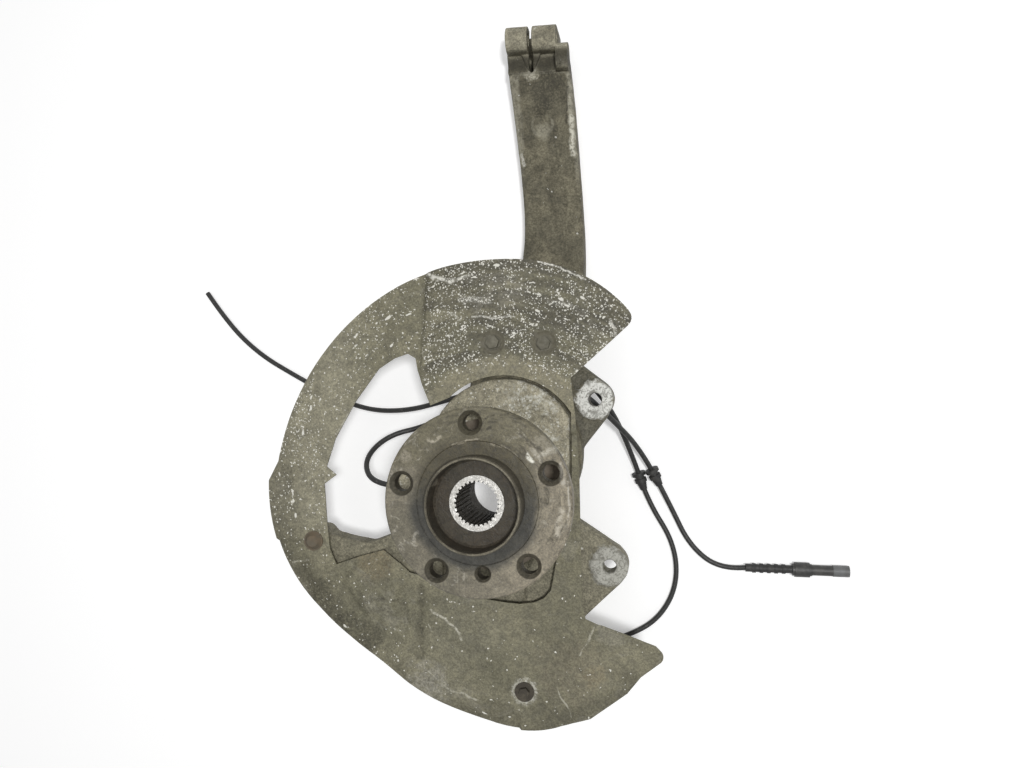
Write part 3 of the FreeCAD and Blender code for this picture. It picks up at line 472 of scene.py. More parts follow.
@dataclass(frozen=True)
class SheetFinish:
    """Weathered dust shield: grey-brown film, a darker upper pad and white corrosion specks."""

    name: str = "shield_sheet"
    film: Colour = srgb(128, 124, 104)
    shade: Colour = srgb(112, 109, 91)
    soot: Colour = srgb(82, 79, 66)
    pad: Colour = srgb(84, 81, 70)
    band: Colour = srgb(136, 131, 111)
    brown: Colour = srgb(124, 114, 91)
    speck: Colour = srgb(226, 224, 214)
    dust: Colour = srgb(150, 147, 136)
    left: Colour = srgb(141, 137, 118)
    seat: Colour = srgb(104, 100, 86)
    rim_zone: Span = (0.172, 0.200)
    pad_left: Span = (-0.068, -0.060)
    pad_foot: Span = (0.050, 0.058)
    sooty_zone: Span = (0.100, 0.120)
    disc_centre: Point = (0.006, 0.028, 0.0)
    band_zone: Span = (0.0865, 0.0800)
    seats: tuple[Span, ...] = ((-0.003, 0.123), (0.040, 0.122))
    seat_edge: Span = (0.0112, 0.0100)
    streak_stretch: Point = (0.4, 1.6, 1.0)
    streaks: Cloud = Cloud(34.0, 5.0, 0.7, 1.2, 0.36, 0.60)
    soot_cloud: Cloud = Cloud(21.0, 6.0, 0.7, 1.5, 0.50, 0.64)
    dust_cloud: Cloud = Cloud(26.0, 6.0, 0.75, 1.0, 0.54, 0.66)
    clumps: Cloud = Cloud(46.0, 5.0, 0.65, 0.0, 0.36, 0.56, 0.15, 1.0)
    chips: tuple[tuple[float, float, float], ...] = (
        (150.0, 0.24, 0.32), (230.0, 0.30, 0.8), (380.0, 0.36, 1.0), (600.0, 0.42, 1.2))
    stretched_below: float = 300.0

    def build(self, effects: Effects) -> Material:
        """Build the material from plan position."""
        material, g, shader = new_material(self.name)
        place = g.place()
        x, y, _ = g.split(place)
        grit = g.group(effects.grit, {"Vector": place})
        out = effects.away(g, place, AXIS)
        colour = g.mix(grit.outputs["Soft"], self.shade, self.film)
        colour = g.lay(colour, g.fade(x, -0.10, -0.15), g.fade(y, -0.06, -0.02), self.left)
        # soot along the outer rim at the left and below
        ragged = g.plus(out, g.sway(grit.outputs["Broad"], 0.022))
        rim = g.times(g.fade(ragged, *self.rim_zone), g.fade(y, 0.15, 0.11))
        colour = g.lay(colour, rim, 0.55, self.soot)
        # the pressed pad at the top is darker, with streaks along its arc
        arc = effects.round_axis(g, place)
        on_pad = g.times(g.fade(x, *self.pad_left), g.fade(y, *self.pad_foot))
        streak = self.streaks.mask(g, g.vector("MULTIPLY", arc, self.streak_stretch))
        sooty = g.times(on_pad, g.times(g.fade(out, *self.sooty_zone), streak))
        colour = g.lay(colour, sooty, 0.9, self.pad)
        # the rubbed band beside the opening
        disc = effects.away(g, place, self.disc_centre)
        band = g.times(on_pad, g.fade(disc, *self.band_zone))
        colour = g.lay(colour, band, 0.8, self.band)
        colour = lay_marks(self._below(), g, effects, place, colour)
        # broad sooty clouds, and dusty ones that run round the axis
        colour = g.lay(colour, self.soot_cloud.mask(g, place), 0.30, self.soot)
        colour = g.lay(colour, self.dust_cloud.mask(g, arc), 0.28, self.dust)
        colour = grained(g, grit, colour, 0.24, 0.16)
        clean = self._clean(g, effects, place)
        colour = g.lay(colour, clean, 0.7, self.seat)
        specks = g.times(self._specks(g, effects, place, arc, x, y, out, on_pad), g.less(1.0, clean))
        colour = g.lay(colour, specks, 0.9, self.speck)
        colour = lay_marks(self._above(), g, effects, place, colour)
        g.put(shader.inputs["Base Color"], colour)
        g.put(shader.inputs["Roughness"], g.fade(grit.outputs["Middle"], 0.0, 1.0, 0.55, 0.85))
        shader.inputs["Specular IOR Level"].default_value = 0.35
        height = g.plus(g.times(grit.outputs["Fine"], 0.35),
                        g.plus(grit.outputs["Middle"], g.times(specks, 0.8)))
        roughen(g, shader, height, 0.4, 0.0007)
        return material

    def _clean(self, g: Graph, effects: Effects, place: Socket) -> Output:
        """Mask of the pressed seats round the upper screws, which carry no specks."""
        masks = [g.fade(effects.away(g, place, (*seat, 0.0)), *self.seat_edge) for seat in self.seats]
        return g.most(*masks)

    def _specks(self, g: Graph, effects: Effects, place: Socket, arc: Socket, x: Socket, y: Socket,
                out: Socket, on_pad: Socket) -> Output:
        """White corrosion: dense in clumps on the pad, thin to the left, rare below.

        Args:
            g: The material's graph.
            effects: The shared groups.
            place: Object coordinates.
            arc: Coordinates round the axis.
            x: Place across.
            y: Place along.
            out: Distance from the hub axis.
            on_pad: Mask of the pad.

        Returns:
            The mask of the specks.
        """
        clumps = self.clumps.mask(g, arc)
        dense = g.times(on_pad, g.fade(out, 0.098, 0.112, 0.02, 0.95))
        left = g.times(g.fade(x, -0.03, -0.10), g.fade(y, -0.09, 0.06, 0.10, 0.42))
        outer = g.times(left, g.fade(out, 0.145, 0.185, 0.5, 1.3))
        density = g.times(g.most(g.most(dense, outer), 0.035), clumps)
        mask = None
        for scale, size, share in self.chips:
            vector = g.vector("MULTIPLY", arc, (0.8, 1.0, 1.0)) if scale < self.stretched_below else place
            dots = effects.chips(g, vector, scale, size, g.times(density, share))
            mask = dots if mask is None else g.most(mask, dots)
        return mask

    def _below(self) -> tuple[Union[Stain, Stroke], ...]:
        """Soft patches under the grain, and painted shade along the pressed groove at the lower left."""
        dark = srgb(72, 69, 58)
        return (
            Stain((-0.156, -0.100, -0.078), 0.022, dark, 0.75, 0.35, 60.0),
            Stain((-0.135, -0.118, -0.078), 0.012, dark, 0.8, 0.35, 90.0),
            Stain((-0.112, -0.130, -0.078), 0.016, dark, 0.7, 0.4, 90.0),
            Stain((-0.108, -0.062, -0.075), 0.020, self.brown, 0.75, 0.3, 50.0),
            Stain((-0.060, -0.168, -0.078), 0.020, self.dust, 0.65, 0.5, 90.0),
            Stain((-0.030, -0.120, -0.078), 0.040, srgb(124, 121, 104), 0.6, 0.3, 40.0),
            Stain((0.060, -0.150, -0.078), 0.030, srgb(112, 106, 90), 0.6, 0.35, 50.0),
            Stain((0.082, -0.152, -0.078), 0.010, self.brown, 0.5, 0.5, 90.0),
            # painted shade along the pressed groove
            Stroke((-0.0665, -0.086), (-0.0675, -0.146), 0.0050, dark, 0.65),
            # dark lines at the lower side of the bulge
            Stroke((-0.120, -0.102), (-0.100, -0.0955), 0.0030, dark, 0.55),
            Stroke((-0.100, -0.0955), (-0.080, -0.099), 0.0030, dark, 0.55),
            Stroke((-0.080, -0.099), (-0.0775, -0.116), 0.0030, dark, 0.45),
        )

    def _above(self) -> tuple[Union[Stain, Stroke], ...]:
        """Scratches and bright marks over the grain, with a painted highlight along the pad's upper rim."""
        pale = srgb(190, 187, 172)
        return (
            Stroke((-0.0568, -0.1046), (-0.0349, -0.1188), 0.0014, pale, 0.85),
            Stroke((-0.0349, -0.1188), (-0.0306, -0.1287), 0.0014, pale, 0.75),
            Stroke((-0.0604, -0.1164), (-0.0577, -0.1226), 0.0008, pale, 0.7),
            Stroke((-0.0596, -0.1565), (-0.0543, -0.1634), 0.0010, pale, 0.6),
            Stroke((-0.0490, -0.1691), (-0.0168, -0.1804), 0.0013, pale, 0.6),
            Stroke((-0.1858, -0.0705), (-0.1693, -0.0663), 0.0012, pale, 0.6),
            Stroke((-0.0596, 0.1809), (-0.0397, 0.1735), 0.0024, self.speck, 0.95, 0.15),
            Stroke((-0.0397, 0.1735), (-0.0231, 0.1791), 0.0020, self.speck, 0.90, 0.15),
            # painted highlight along the pad's upper rim, in the speck colour
            Stroke((0.0351, 0.1897), (0.0585, 0.1816), 0.0012, self.speck, 0.8),
            Stroke((0.0585, 0.1816), (0.0741, 0.1726), 0.0012, self.speck, 0.8),
            # white corrosion specks and lines on the pad
            Stroke((-0.0206, 0.1443), (0.0160, 0.1438), 0.0012, self.speck, 0.9, 0.6),
            Stroke((-0.0295, 0.1600), (-0.0060, 0.1570), 0.0040, self.speck, 1.0, 0.9),
            Stroke((0.0436, 0.1557), (0.0618, 0.1521), 0.0024, self.speck, 0.9, 0.9),
            Stroke((-0.0420, 0.1480), (-0.0300, 0.1420), 0.0020, self.speck, 0.9, 0.8),
            Stroke((0.0944, 0.1401), (0.1000, 0.1271), 0.0018, self.speck, 0.7),
            Stroke((0.0503, -0.1640), (0.0628, -0.1881), 0.0010, pale, 0.6),
            Stroke((0.0818, -0.1125), (0.0695, -0.1354), 0.0012, pale, 0.6),
            Stroke((-0.1255, 0.0725), (-0.1416, 0.0459), 0.0010, pale, 0.7),
            Stain((0.023, -0.169, -0.078), 0.0112, self.speck, 0.75, 0.25, 300.0),
            Stain((0.023, -0.169, -0.078), 0.0080, srgb(110, 106, 92), 0.9, 0.15, 300.0),
            Stain((-0.1063, -0.0638, -0.075), 0.0022, self.speck, 0.9, 0.3, 300.0),
        )


@dataclass(frozen=True)
class EarFace:
    """Corroded and pitted ring round one caliper hole."""

    centre: Point
    colour: Colour
    radius: float
    pit: float = 0.75
    pitted: Colour = srgb(112, 110, 101)
    coarse: Cloud = Cloud(150.0, 4.0, 0.7, 0.8, 0.50, 0.62)
    fine: Cloud = Cloud(420.0, 4.0, 0.8, 0.0, 0.50, 0.60)

    def over(self, g: Graph, effects: Effects, place: Socket, colour: Socket) -> Output:
        """Lay the ring over a colour and return the mix."""
        _, _, z = g.split(place)
        ragged = g.sway(g.cloud(place, 170.0, 5.0, 0.75), 0.014)
        edge = g.plus(effects.away(g, place, self.centre), ragged)
        mask = g.times(g.fade(edge, self.radius + 0.0010, self.radius - 0.0025), g.fade(z, -0.0925, -0.0900))
        pits = g.most(*(g.times(cloud.mask(g, place), self.pit) for cloud in (self.coarse, self.fine)))
        return g.lay(colour, mask, 0.95, g.mix(pits, self.colour, self.pitted))


@dataclass(frozen=True)
class CastingFinish:
    """Dirty cast aluminium with white corrosion on the worn faces."""

    name: str = "cast_knuckle"
    dark: Colour = srgb(96, 92, 76)
    light: Colour = srgb(118, 113, 95)
    soot: Colour = srgb(56, 53, 43)
    edge: Colour = srgb(150, 146, 130)
    oxide: Colour = srgb(218, 217, 208)
    web: Colour = srgb(92, 90, 80)
    film: Colour = srgb(196, 195, 184)
    face: tuple[Colour, Colour] = (srgb(136, 131, 112), srgb(164, 158, 138))
    olive: tuple[Colour, Colour] = (srgb(126, 122, 104), srgb(142, 137, 118))
    clamp: tuple[Colour, Colour] = (srgb(136, 131, 112), srgb(166, 161, 142))
    corroded: Point = (0.048, 0.066, 0.0)
    streaks: Cloud = Cloud(55.0, 6.0, 0.75, 1.2, 0.46, 0.62)
    patches: Cloud = Cloud(60.0, 5.0, 0.7, 0.0, 0.42, 0.60)
    film_cloud: Cloud = Cloud(240.0, 4.0, 0.75, 0.0, 0.42, 0.62)
    ears: tuple[EarFace, ...] = (EarFace((0.081, 0.075, -0.088), srgb(226, 226, 220), 0.0165),
                                 EarFace((0.093, -0.064, -0.088), srgb(180, 179, 170), 0.0180))

    def build(self, effects: Effects) -> Material:
        """Build the material from place and slope on the casting."""
        material, g, shader = new_material(self.name)
        place = g.place()
        _, y, z = g.split(place)
        _, _, tilt = g.split(g.node("ShaderNodeNewGeometry").outputs["Normal"])
        grit = g.group(effects.grit, {"Vector": place})
        colour = g.mix(grit.outputs["Broad"], self.dark, self.light)
        # the arm: rounded sides lighter, partly dust and wear and partly a painted highlight where they would
        # catch the light; sooty middle
        on_arm = g.fade(y, 0.13, 0.20)
        along = g.vector("MULTIPLY", place, (1.0, 0.45, 1.0))
        colour = g.lay(colour, g.times(self.streaks.mask(g, along), on_arm), 0.42, self.soot)
        edge_wear_and_highlight = g.times(g.fade(tilt, 0.985, 0.86), g.fade(tilt, 0.20, 0.60))
        edge_wear_and_highlight = g.times(g.times(edge_wear_and_highlight, g.fade(y, 0.26, 0.31)), g.fade(z, -0.172, -0.166))
        colour = g.lay(colour, edge_wear_and_highlight, g.fade(grit.outputs["Broad"], 0.0, 0.8, 0.4, 0.85), self.edge)
        # the carrier's face: lighter and brown
        on_disc = g.times(g.fade(z, -0.0735, -0.0715), g.fade(y, 0.13, 0.11))
        colour = g.lay(colour, on_disc, 0.85, g.mix(grit.outputs["Broad"], *self.face))
        # smooth dark webs beside the ears
        on_web = g.times(g.fade(z, -0.0960, -0.0925), g.fade(z, -0.0890, -0.0900))
        colour = g.lay(colour, on_web, 0.6, self.web)
        # the low parts seen through the shield: lighter olive, partly their own dusty tone and partly painted
        # light against the shade of the shield above them
        low = g.times(g.fade(y, -0.010, -0.020), g.fade(z, -0.0850, -0.0885))
        colour = g.lay(colour, low, 0.85, g.mix(grit.outputs["Soft"], *self.olive))
        # painted light on the clamp: its upward faces lighter, as if lit from above
        clamp_lit_faces = g.times(g.fade(y, 0.384, 0.394), g.fade(tilt, 0.2, 0.7))
        colour = g.lay(colour, clamp_lit_faces, 0.8, g.mix(grit.outputs["Broad"], *self.clamp))
        colour = g.lay(colour, grit.outputs["Pits"], 0.40, self.soot)
        colour = grained(g, grit, colour, 0.30, 0.20)
        colour = lay_marks(self._marks(), g, effects, place, colour)
        colour = self._corrosion(g, effects, place, colour)
        for ear in self.ears:
            colour = ear.over(g, effects, place, colour)
        # painted shade under the clamp's ears, where they overhang the arm, laid in the soot colour
        under = g.times(g.fade(y, 0.374, 0.382), g.fade(y, 0.394, 0.388))
        colour = g.lay(colour, under, 0.75, self.soot)
        g.put(shader.inputs["Base Color"], colour)
        g.put(shader.inputs["Roughness"], g.fade(grit.outputs["Broad"], 0.0, 1.0, 0.62, 0.82))
        shader.inputs["Metallic"].default_value = 0.1
        shader.inputs["Specular IOR Level"].default_value = 0.4
        height = g.less(g.plus(grit.outputs["Middle"], g.times(grit.outputs["Fine"], 0.4)),
                        grit.outputs["Pits"])
        roughen(g, shader, height, 0.45, 0.0008)
        return material

    def _marks(self) -> tuple[Union[Stain, Stroke], ...]:
        """Patches and lines on the arm and the clamp, with painted highlights along the arm's rounded edges
        and on its small boss, and painted shade above the boss and below the ears.
        """
        return (
            # painted highlights along the arm's rounded right edge
            Stroke((0.0520, 0.372), (0.0535, 0.340), 0.0040, srgb(176, 172, 155), 0.7),
            Stroke((0.0540, 0.335), (0.0555, 0.300), 0.0036, srgb(214, 211, 196), 0.9),
            # a dark line just inside the right edge
            Stroke((0.0500, 0.362), (0.0500, 0.330), 0.0016, srgb(60, 57, 47), 0.8),
            # painted highlight along the arm's rounded left edge, then a spot of white oxide
            Stroke((0.0020, 0.372), (0.0060, 0.300), 0.0050, srgb(152, 148, 132), 0.75),
            Stroke((0.0075, 0.302), (0.0100, 0.292), 0.0022, self.oxide, 0.7),
            # painted highlight on the lower side of the small boss on the arm, and painted shadow above it in
            # the soot colour
            Stain((0.0270, 0.3225, -0.161), 0.0085, srgb(158, 154, 136), 0.7, 0.25, 120.0),
            Stain((0.0270, 0.3440, -0.161), 0.0110, self.soot, 0.75, 0.35, 90.0),
            # painted shade on the arm below the clamp's ears, in the soot colour; then a pale spot near the
            # clamp
            Stain((0.0300, 0.3640, -0.160), 0.0190, self.soot, 0.6, 0.45, 70.0),
            Stain((0.0175, 0.3750, -0.156), 0.0060, srgb(190, 186, 170), 0.8, 0.6, 180.0),
        )

    def _corrosion(self, g: Graph, effects: Effects, place: Socket, colour: Socket) -> Output:
        """White specks, thickest on the carrier's face towards the upper ear."""
        near = effects.away(g, place, self.corroded)
        _, _, z = g.split(place)
        zone = g.times(g.fade(near, 0.058, 0.018), g.fade(z, -0.080, -0.076))
        cloud = self.patches.mask(g, place)
        density = g.plus(g.times(g.times(zone, cloud), 0.75),
                         g.fade(z, -0.085, -0.072, 0.008, 0.16))
        for scale, size, share in ((300.0, 0.36, 0.7), (620.0, 0.42, 0.8)):
            colour = g.lay(colour, effects.chips(g, place, scale, size, density), share, self.oxide)
        film = g.times(g.times(zone, cloud), self.film_cloud.mask(g, place))
        return g.lay(colour, film, 0.75, self.film)


@dataclass(frozen=True)
class HubFinish:
    """Turned and rusted wheel flange, dark recess and bright nut land."""

    name: str = "wheel_flange"
    face: Colour = srgb(122, 116, 101)
    dusk: Colour = srgb(104, 100, 86)
    olive: Colour = srgb(104, 99, 80)
    warm: Colour = srgb(138, 130, 113)
    band: Colour = srgb(66, 65, 60)
    shade: Colour = srgb(80, 75, 60)
    smear_dark: Colour = srgb(68, 64, 52)
    hole: Colour = srgb(62, 58, 47)
    recess: Colour = srgb(60, 56, 46)
    bright: Colour = srgb(214, 212, 207)
    oxide: Colour = srgb(196, 191, 178)
    collar: Colour = srgb(84, 79, 67)
    rubbed: Colour = srgb(142, 136, 119)
    lining: Colour = srgb(64, 57, 46)
    worn: Colour = srgb(158, 155, 146)
    teeth: tuple[Colour, Colour] = (srgb(92, 88, 78), srgb(58, 54, 46))
    smears: Cloud = Cloud(70.0, 5.0, 0.7, 1.0, 0.50, 0.64)
    smear_stretch: Point = (0.5, 2.2, 1.0)
    dust: Cloud = Cloud(48.0, 6.0, 0.75, 1.0, 0.55, 0.68)
    dust_stretch: Point = (0.7, 1.6, 1.0)
    band_zone: Span = (0.0540, 0.0440)
    band_lean: float = 0.045
    bolt_circle: float = 60.0
    bolt_start: float = 94.9
    bolt_count: int = 5
    bolt_reach: float = 0.0100
    screw: tuple[float, float, float] = (52.8, -85.1, 0.0070)

    def build(self, effects: Effects) -> Material:
        """Build the material from distance to the axis."""
        material, g, shader = new_material(self.name)
        place = g.place()
        x, y, z = g.split(place)
        far = effects.away(g, place, AXIS)
        grit = g.group(effects.grit, {"Vector": place})
        broad, fine, soft = grit.outputs["Broad"], grit.outputs["Fine"], grit.outputs["Soft"]
        colour = g.mix(soft, self.dusk, self.face)
        # warmer and lighter at the right, darker olive over the upper third
        right = g.plus(x, g.sway(soft, 0.02))
        colour = g.mix(g.fade(right, 0.010, 0.055, 0.0, 0.85), colour, self.warm)
        upper = g.plus(y, g.sway(broad, 0.02))
        colour = g.mix(g.fade(upper, 0.020, 0.044, 0.0, 0.85), colour, self.olive)
        # dark band that the wheel's collar left round the pilot, soft at its outer edge
        edge = g.plus(far, g.sway(broad, 0.004))
        edge = g.plus(edge, g.times(x, self.band_lean))
        band = g.times(g.fade(edge, *self.band_zone), g.fade(far, 0.0355, 0.0362))
        tone = g.mix(g.fade(y, -0.010, 0.025), self.band, self.shade)
        colour = g.mix(band, colour, tone)
        # darker smears that run round the face, thickest at the upper right
        arc = effects.round_axis(g, place)
        smear = self.smears.mask(g, g.vector("MULTIPLY", arc, self.smear_stretch))
        place_share = g.fade(g.plus(x, y), -0.02, 0.06, 0.15, 0.75)
        colour = g.lay(colour, g.times(smear, place_share), g.fade(far, 0.0370, 0.0380), self.smear_dark)
        dust = self.dust.mask(g, g.vector("MULTIPLY", arc, self.dust_stretch))
        colour = g.lay(colour, g.times(dust, 0.4), g.fade(far, 0.0480, 0.0540), self.oxide)
        # pilot: dark outside, rubbed rim, dark recess inside
        on_pilot = g.times(g.fade(far, 0.0372, 0.0366), g.fade(z, 0.0002, 0.0012))
        colour = g.lay(colour, on_pilot, 0.8, self.collar)
        rim = g.times(g.fade(z, 0.0168, 0.0176), g.fade(broad, 0.1, 0.9, 0.10, 0.75))
        colour = g.mix(rim, colour, self.rubbed)
        colour = g.mix(self._holes(g, effects, place), colour, self.hole)
        colour = grained(g, grit, colour, 0.26, 0.18)
        inside = g.times(g.fade(far, 0.0348, 0.0342), g.fade(z, 0.0168, 0.0158))
        lining = g.mix(broad, self.recess, self.lining)
        colour = g.mix(inside, colour, grained(g, grit, lining, 0.25, 0.2))
        # bright land of the nut, grey teeth
        land = g.times(g.fade(far, 0.0213, 0.0209), g.fade(z, 0.0004, 0.0007))
        colour = g.mix(land, colour, g.lay(self.bright, fine, 0.5, self.worn))
        teeth = g.times(g.fade(far, 0.0177, 0.0175), g.fade(z, 0.0005, -0.0005))
        colour = g.mix(teeth, colour, g.mix(fine, *self.teeth))
        colour = lay_marks(self._marks(), g, effects, place, colour)
        g.put(shader.inputs["Base Color"], colour)
        g.put(shader.inputs["Metallic"], g.plus(g.times(land, 0.5), 0.12))
        g.put(shader.inputs["Roughness"], g.less(g.fade(fine, 0.0, 1.0, 0.50, 0.74),
                                                 g.times(land, 0.15)))
        rings = g.node("ShaderNodeTexWave", {
            "Vector": place, "Scale": 330.0, "Distortion": 1.5, "Detail": 2.0, "Detail Scale": 3.0},
            wave_type="RINGS", rings_direction="Z")
        height = g.plus(g.times(rings.outputs["Fac"], 0.12),
                        g.plus(g.times(fine, 0.4), grit.outputs["Middle"]))
        roughen(g, shader, height, 0.35, 0.0006)
        return material

    def _holes(self, g: Graph, effects: Effects, place: Socket) -> Output:
        """Mask of the dirty countersinks and hole walls."""
        step = 360.0 / self.bolt_count
        centres = [(self.bolt_circle, self.bolt_start + step * i, self.bolt_reach)
                   for i in range(self.bolt_count)] + [self.screw]
        mask = None
        for radius, angle, reach in centres:
            turn = math.radians(angle)
            centre = (radius * MM * math.cos(turn), radius * MM * math.sin(turn), 0.0)
            far = effects.away(g, place, centre)
            dark = g.fade(far, reach, reach - 0.0010)
            mask = dark if mask is None else g.most(mask, dark)
        return g.times(mask, 0.85)

    def _marks(self) -> tuple[Union[Stain, Stroke], ...]:
        """White corrosion and scratches, as they lie round the flange."""
        black, pale = srgb(58, 54, 44), srgb(168, 160, 142)
        return (
            Stroke((0.0640, -0.0030), (0.0600, -0.0220), 0.0036, srgb(184, 177, 161), 0.85),
            Stroke((0.0480, 0.0370), (0.0570, 0.0400), 0.0034, srgb(210, 206, 192), 0.8, 0.3),
            Stroke((0.0420, 0.0400), (0.0480, 0.0330), 0.0026, self.oxide, 0.7, 0.4),
            Stroke((0.0625, 0.0300), (0.0650, 0.0160), 0.0030, self.oxide, 0.7, 0.3),
            Stroke((0.0680, 0.0180), (0.0690, -0.0080), 0.0012, self.oxide, 0.6),
            Stroke((0.0390, 0.0360), (0.0415, 0.0320), 0.0026, srgb(230, 228, 216), 0.95),
            Stain((0.0500, 0.0450, 0.0), 0.0090, srgb(156, 150, 134), 0.55, 0.8, 150.0),
            Stroke((-0.0300, 0.0140), (-0.0280, 0.0180), 0.0010, pale, 0.4),
            Stroke((-0.0380, 0.0470), (-0.0330, 0.0460), 0.0022, srgb(172, 165, 147), 0.75),
            Stroke((-0.0335, 0.0465), (-0.0285, 0.0495), 0.0022, srgb(176, 169, 151), 0.8),
            Stain((-0.0550, 0.0340, 0.0), 0.0050, srgb(156, 149, 133), 0.7, 0.4, 190.0),
            Stroke((-0.0430, 0.0395), (-0.0370, 0.0385), 0.0012, srgb(150, 144, 128), 0.5),
            Stain((-0.0060, 0.0560, 0.0), 0.0120, srgb(84, 79, 63), 0.7, 0.35, 90.0),
            Stroke((0.0060, 0.0610), (0.0130, 0.0655), 0.0012, black, 0.8),
            Stroke((0.0090, 0.0590), (0.0150, 0.0600), 0.0012, black, 0.8),
            Stroke((0.0170, 0.0650), (0.0240, 0.0670), 0.0010, black, 0.7),
            Stroke((0.0330, 0.0520), (0.0390, 0.0480), 0.0014, black, 0.6),
            Stroke((-0.0180, 0.0440), (-0.0080, 0.0465), 0.0014, pale, 0.6),
            Stroke((-0.0080, 0.0465), (0.0030, 0.0470), 0.0012, pale, 0.6),
            Stroke((0.0110, 0.0440), (0.0200, 0.0430), 0.0018, pale, 0.6, 0.5),
            Stroke((0.0200, 0.0430), (0.0300, 0.0360), 0.0014, pale, 0.5, 0.5),
            Stroke((-0.0120, -0.0500), (-0.0050, -0.0505), 0.0012, black, 0.6),
            Stroke((0.0040, 0.0550), (0.0110, 0.0560), 0.0014, black, 0.8),
            Stroke((0.0020, 0.0580), (0.0080, 0.0620), 0.0014, black, 0.8),
            Stroke((0.0390, 0.0470), (0.0480, 0.0400), 0.0018, black, 0.7),
            Stroke((0.0440, 0.0420), (0.0500, 0.0330), 0.0016, black, 0.6),
            Stroke((0.0270, 0.0620), (0.0370, 0.0570), 0.0012, black, 0.5),
        )


@dataclass(frozen=True)
class LeadFinish:
    """Dark jacket of a lead, slightly scuffed along its length."""

    name: str = "lead_jacket"
    jacket: Colour = srgb(48, 48, 47)
    scuff: Colour = srgb(98, 97, 93)

    def build(self, effects: Effects) -> Material:
        """Build the material."""
        material, g, shader = new_material(self.name)
        place = g.place()
        cloud = g.cloud(place, 240.0, 4.0, 0.7)
        scuffs = g.times(g.fade(cloud, 0.56, 0.70), 0.6)
        dust = effects.chips(g, place, 420.0, 0.3, 0.2)
        g.put(shader.inputs["Base Color"], g.mix(g.most(scuffs, g.times(dust, 0.6)),
                                                 self.jacket, self.scuff))
        g.put(shader.inputs["Roughness"], g.fade(cloud, 0.3, 0.7, 0.38, 0.6))
        roughen(g, shader, cloud, 0.1, 0.0004)
        return material


# ---------------------------------------------------------------- mesh helpers
def to_object(mesh: Mesh, name: str, material: Material, smooth_angle: float = 40.0) -> Piece:
    """Write a bmesh to a new object at the origin.

    Args:
        mesh: The finished bmesh; it is freed.
        name: The piece's name.
        material: Its finish.
        smooth_angle: Edges sharper than this many degrees stay crisp.

    Returns:
        The new object.
    """
    data = bpy.data.meshes.new(name)
    mesh.to_mesh(data)
    mesh.free()
    data.materials.append(material)
    data.shade_smooth()
    data.set_sharp_from_angle(angle=math.radians(smooth_angle))
    piece = bpy.data.objects.new(name, data)
    bpy.context.scene.collection.objects.link(piece)
    return piece


def apply_modifiers(piece: Piece) -> None:
    """Turn a piece's modifiers into its mesh."""
    graph = bpy.context.evaluated_depsgraph_get()
    baked = bpy.data.meshes.new_from_object(piece.evaluated_get(graph), depsgraph=graph)
    old = piece.data
    piece.modifiers.clear()
    piece.data = baked
    bpy.data.meshes.remove(old)


def dress_node(name: str, material: Material, smooth_angle: float = 35.0) -> None:
    """Give a CAD node its finish and smooth shading where its faces are round."""
    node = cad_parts[name]
    node.data.materials.clear()
    node.data.materials.append(material)
    node.data.shade_smooth()
    node.data.set_sharp_from_angle(angle=math.radians(smooth_angle))
    LOG.info("node %s dressed in %s", name, material.name)


def dress_all(effects: Effects, table: Sequence[tuple[PlainFinish, Sequence[str]]]) -> None:
    """Build each plain finish and give it to its CAD nodes."""
    for finish, names in table:
        material = finish.build(effects)
        for name in names:
            dress_node(name, material)


def enter(piece: Piece, nodes: Sequence[str]) -> None:
    """Let a piece ride on the carrier in place of its CAD nodes."""
    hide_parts(*nodes)
    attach(piece, CARRIER)
    LOG.info("piece %s stands for %s", piece.name, ", ".join(nodes))


# ---------------------------------------------------------------- sub-assemblies
@dataclass
class HubUnit:
    """Wheel flange, bearing rings, balls and cages."""

    effects: Effects
    smooth_angle: float = 30.0
    finishes: tuple[tuple[PlainFinish, tuple[str, ...]], ...] = (
        (PlainFinish("dull_ring", srgb(104, 96, 84), srgb(78, 66, 52), 0.6, 0.4),
         ("bearing_outer_ring", "bearing_bolts")),
        (PlainFinish("ground_steel", srgb(168, 167, 164), srgb(120, 112, 98), 0.3, 0.9, 0.2),
         ("bearing_inner_ring",)),
        (PlainFinish("polished_balls", srgb(205, 205, 206), srgb(170, 168, 164), 0.12, 1.0, 0.05, 500.0,
                     0.02),
         ("outboard_balls", "inboard_balls")),
        (PlainFinish("moulded_cage", srgb(52, 50, 47), srgb(86, 80, 70), 0.5, 0.0, 0.2),
         ("outboard_cage", "inboard_cage")),
        (PlainFinish("seal_rubber", srgb(42, 41, 39), srgb(84, 78, 68), 0.7, 0.0, 0.5),
         ("outboard_seal", "encoder_ring")),
    )

    def build(self) -> None:
        """Dress the hub and the bearing."""
        dress_node("hub", HubFinish().build(self.effects), self.smooth_angle)
        dress_all(self.effects, self.finishes)


class Side(Enum):
    """Which side of a cut across the casting is kept."""

    BELOW = -1
    ABOVE = 1


@dataclass(frozen=True)
class Skin:
    """One rounded skin over some of the casting's CAD nodes."""

    name: str
    sources: tuple[str, ...]
    replaced: tuple[str, ...]
    voxel: float
    smoothing: int
    side: Side


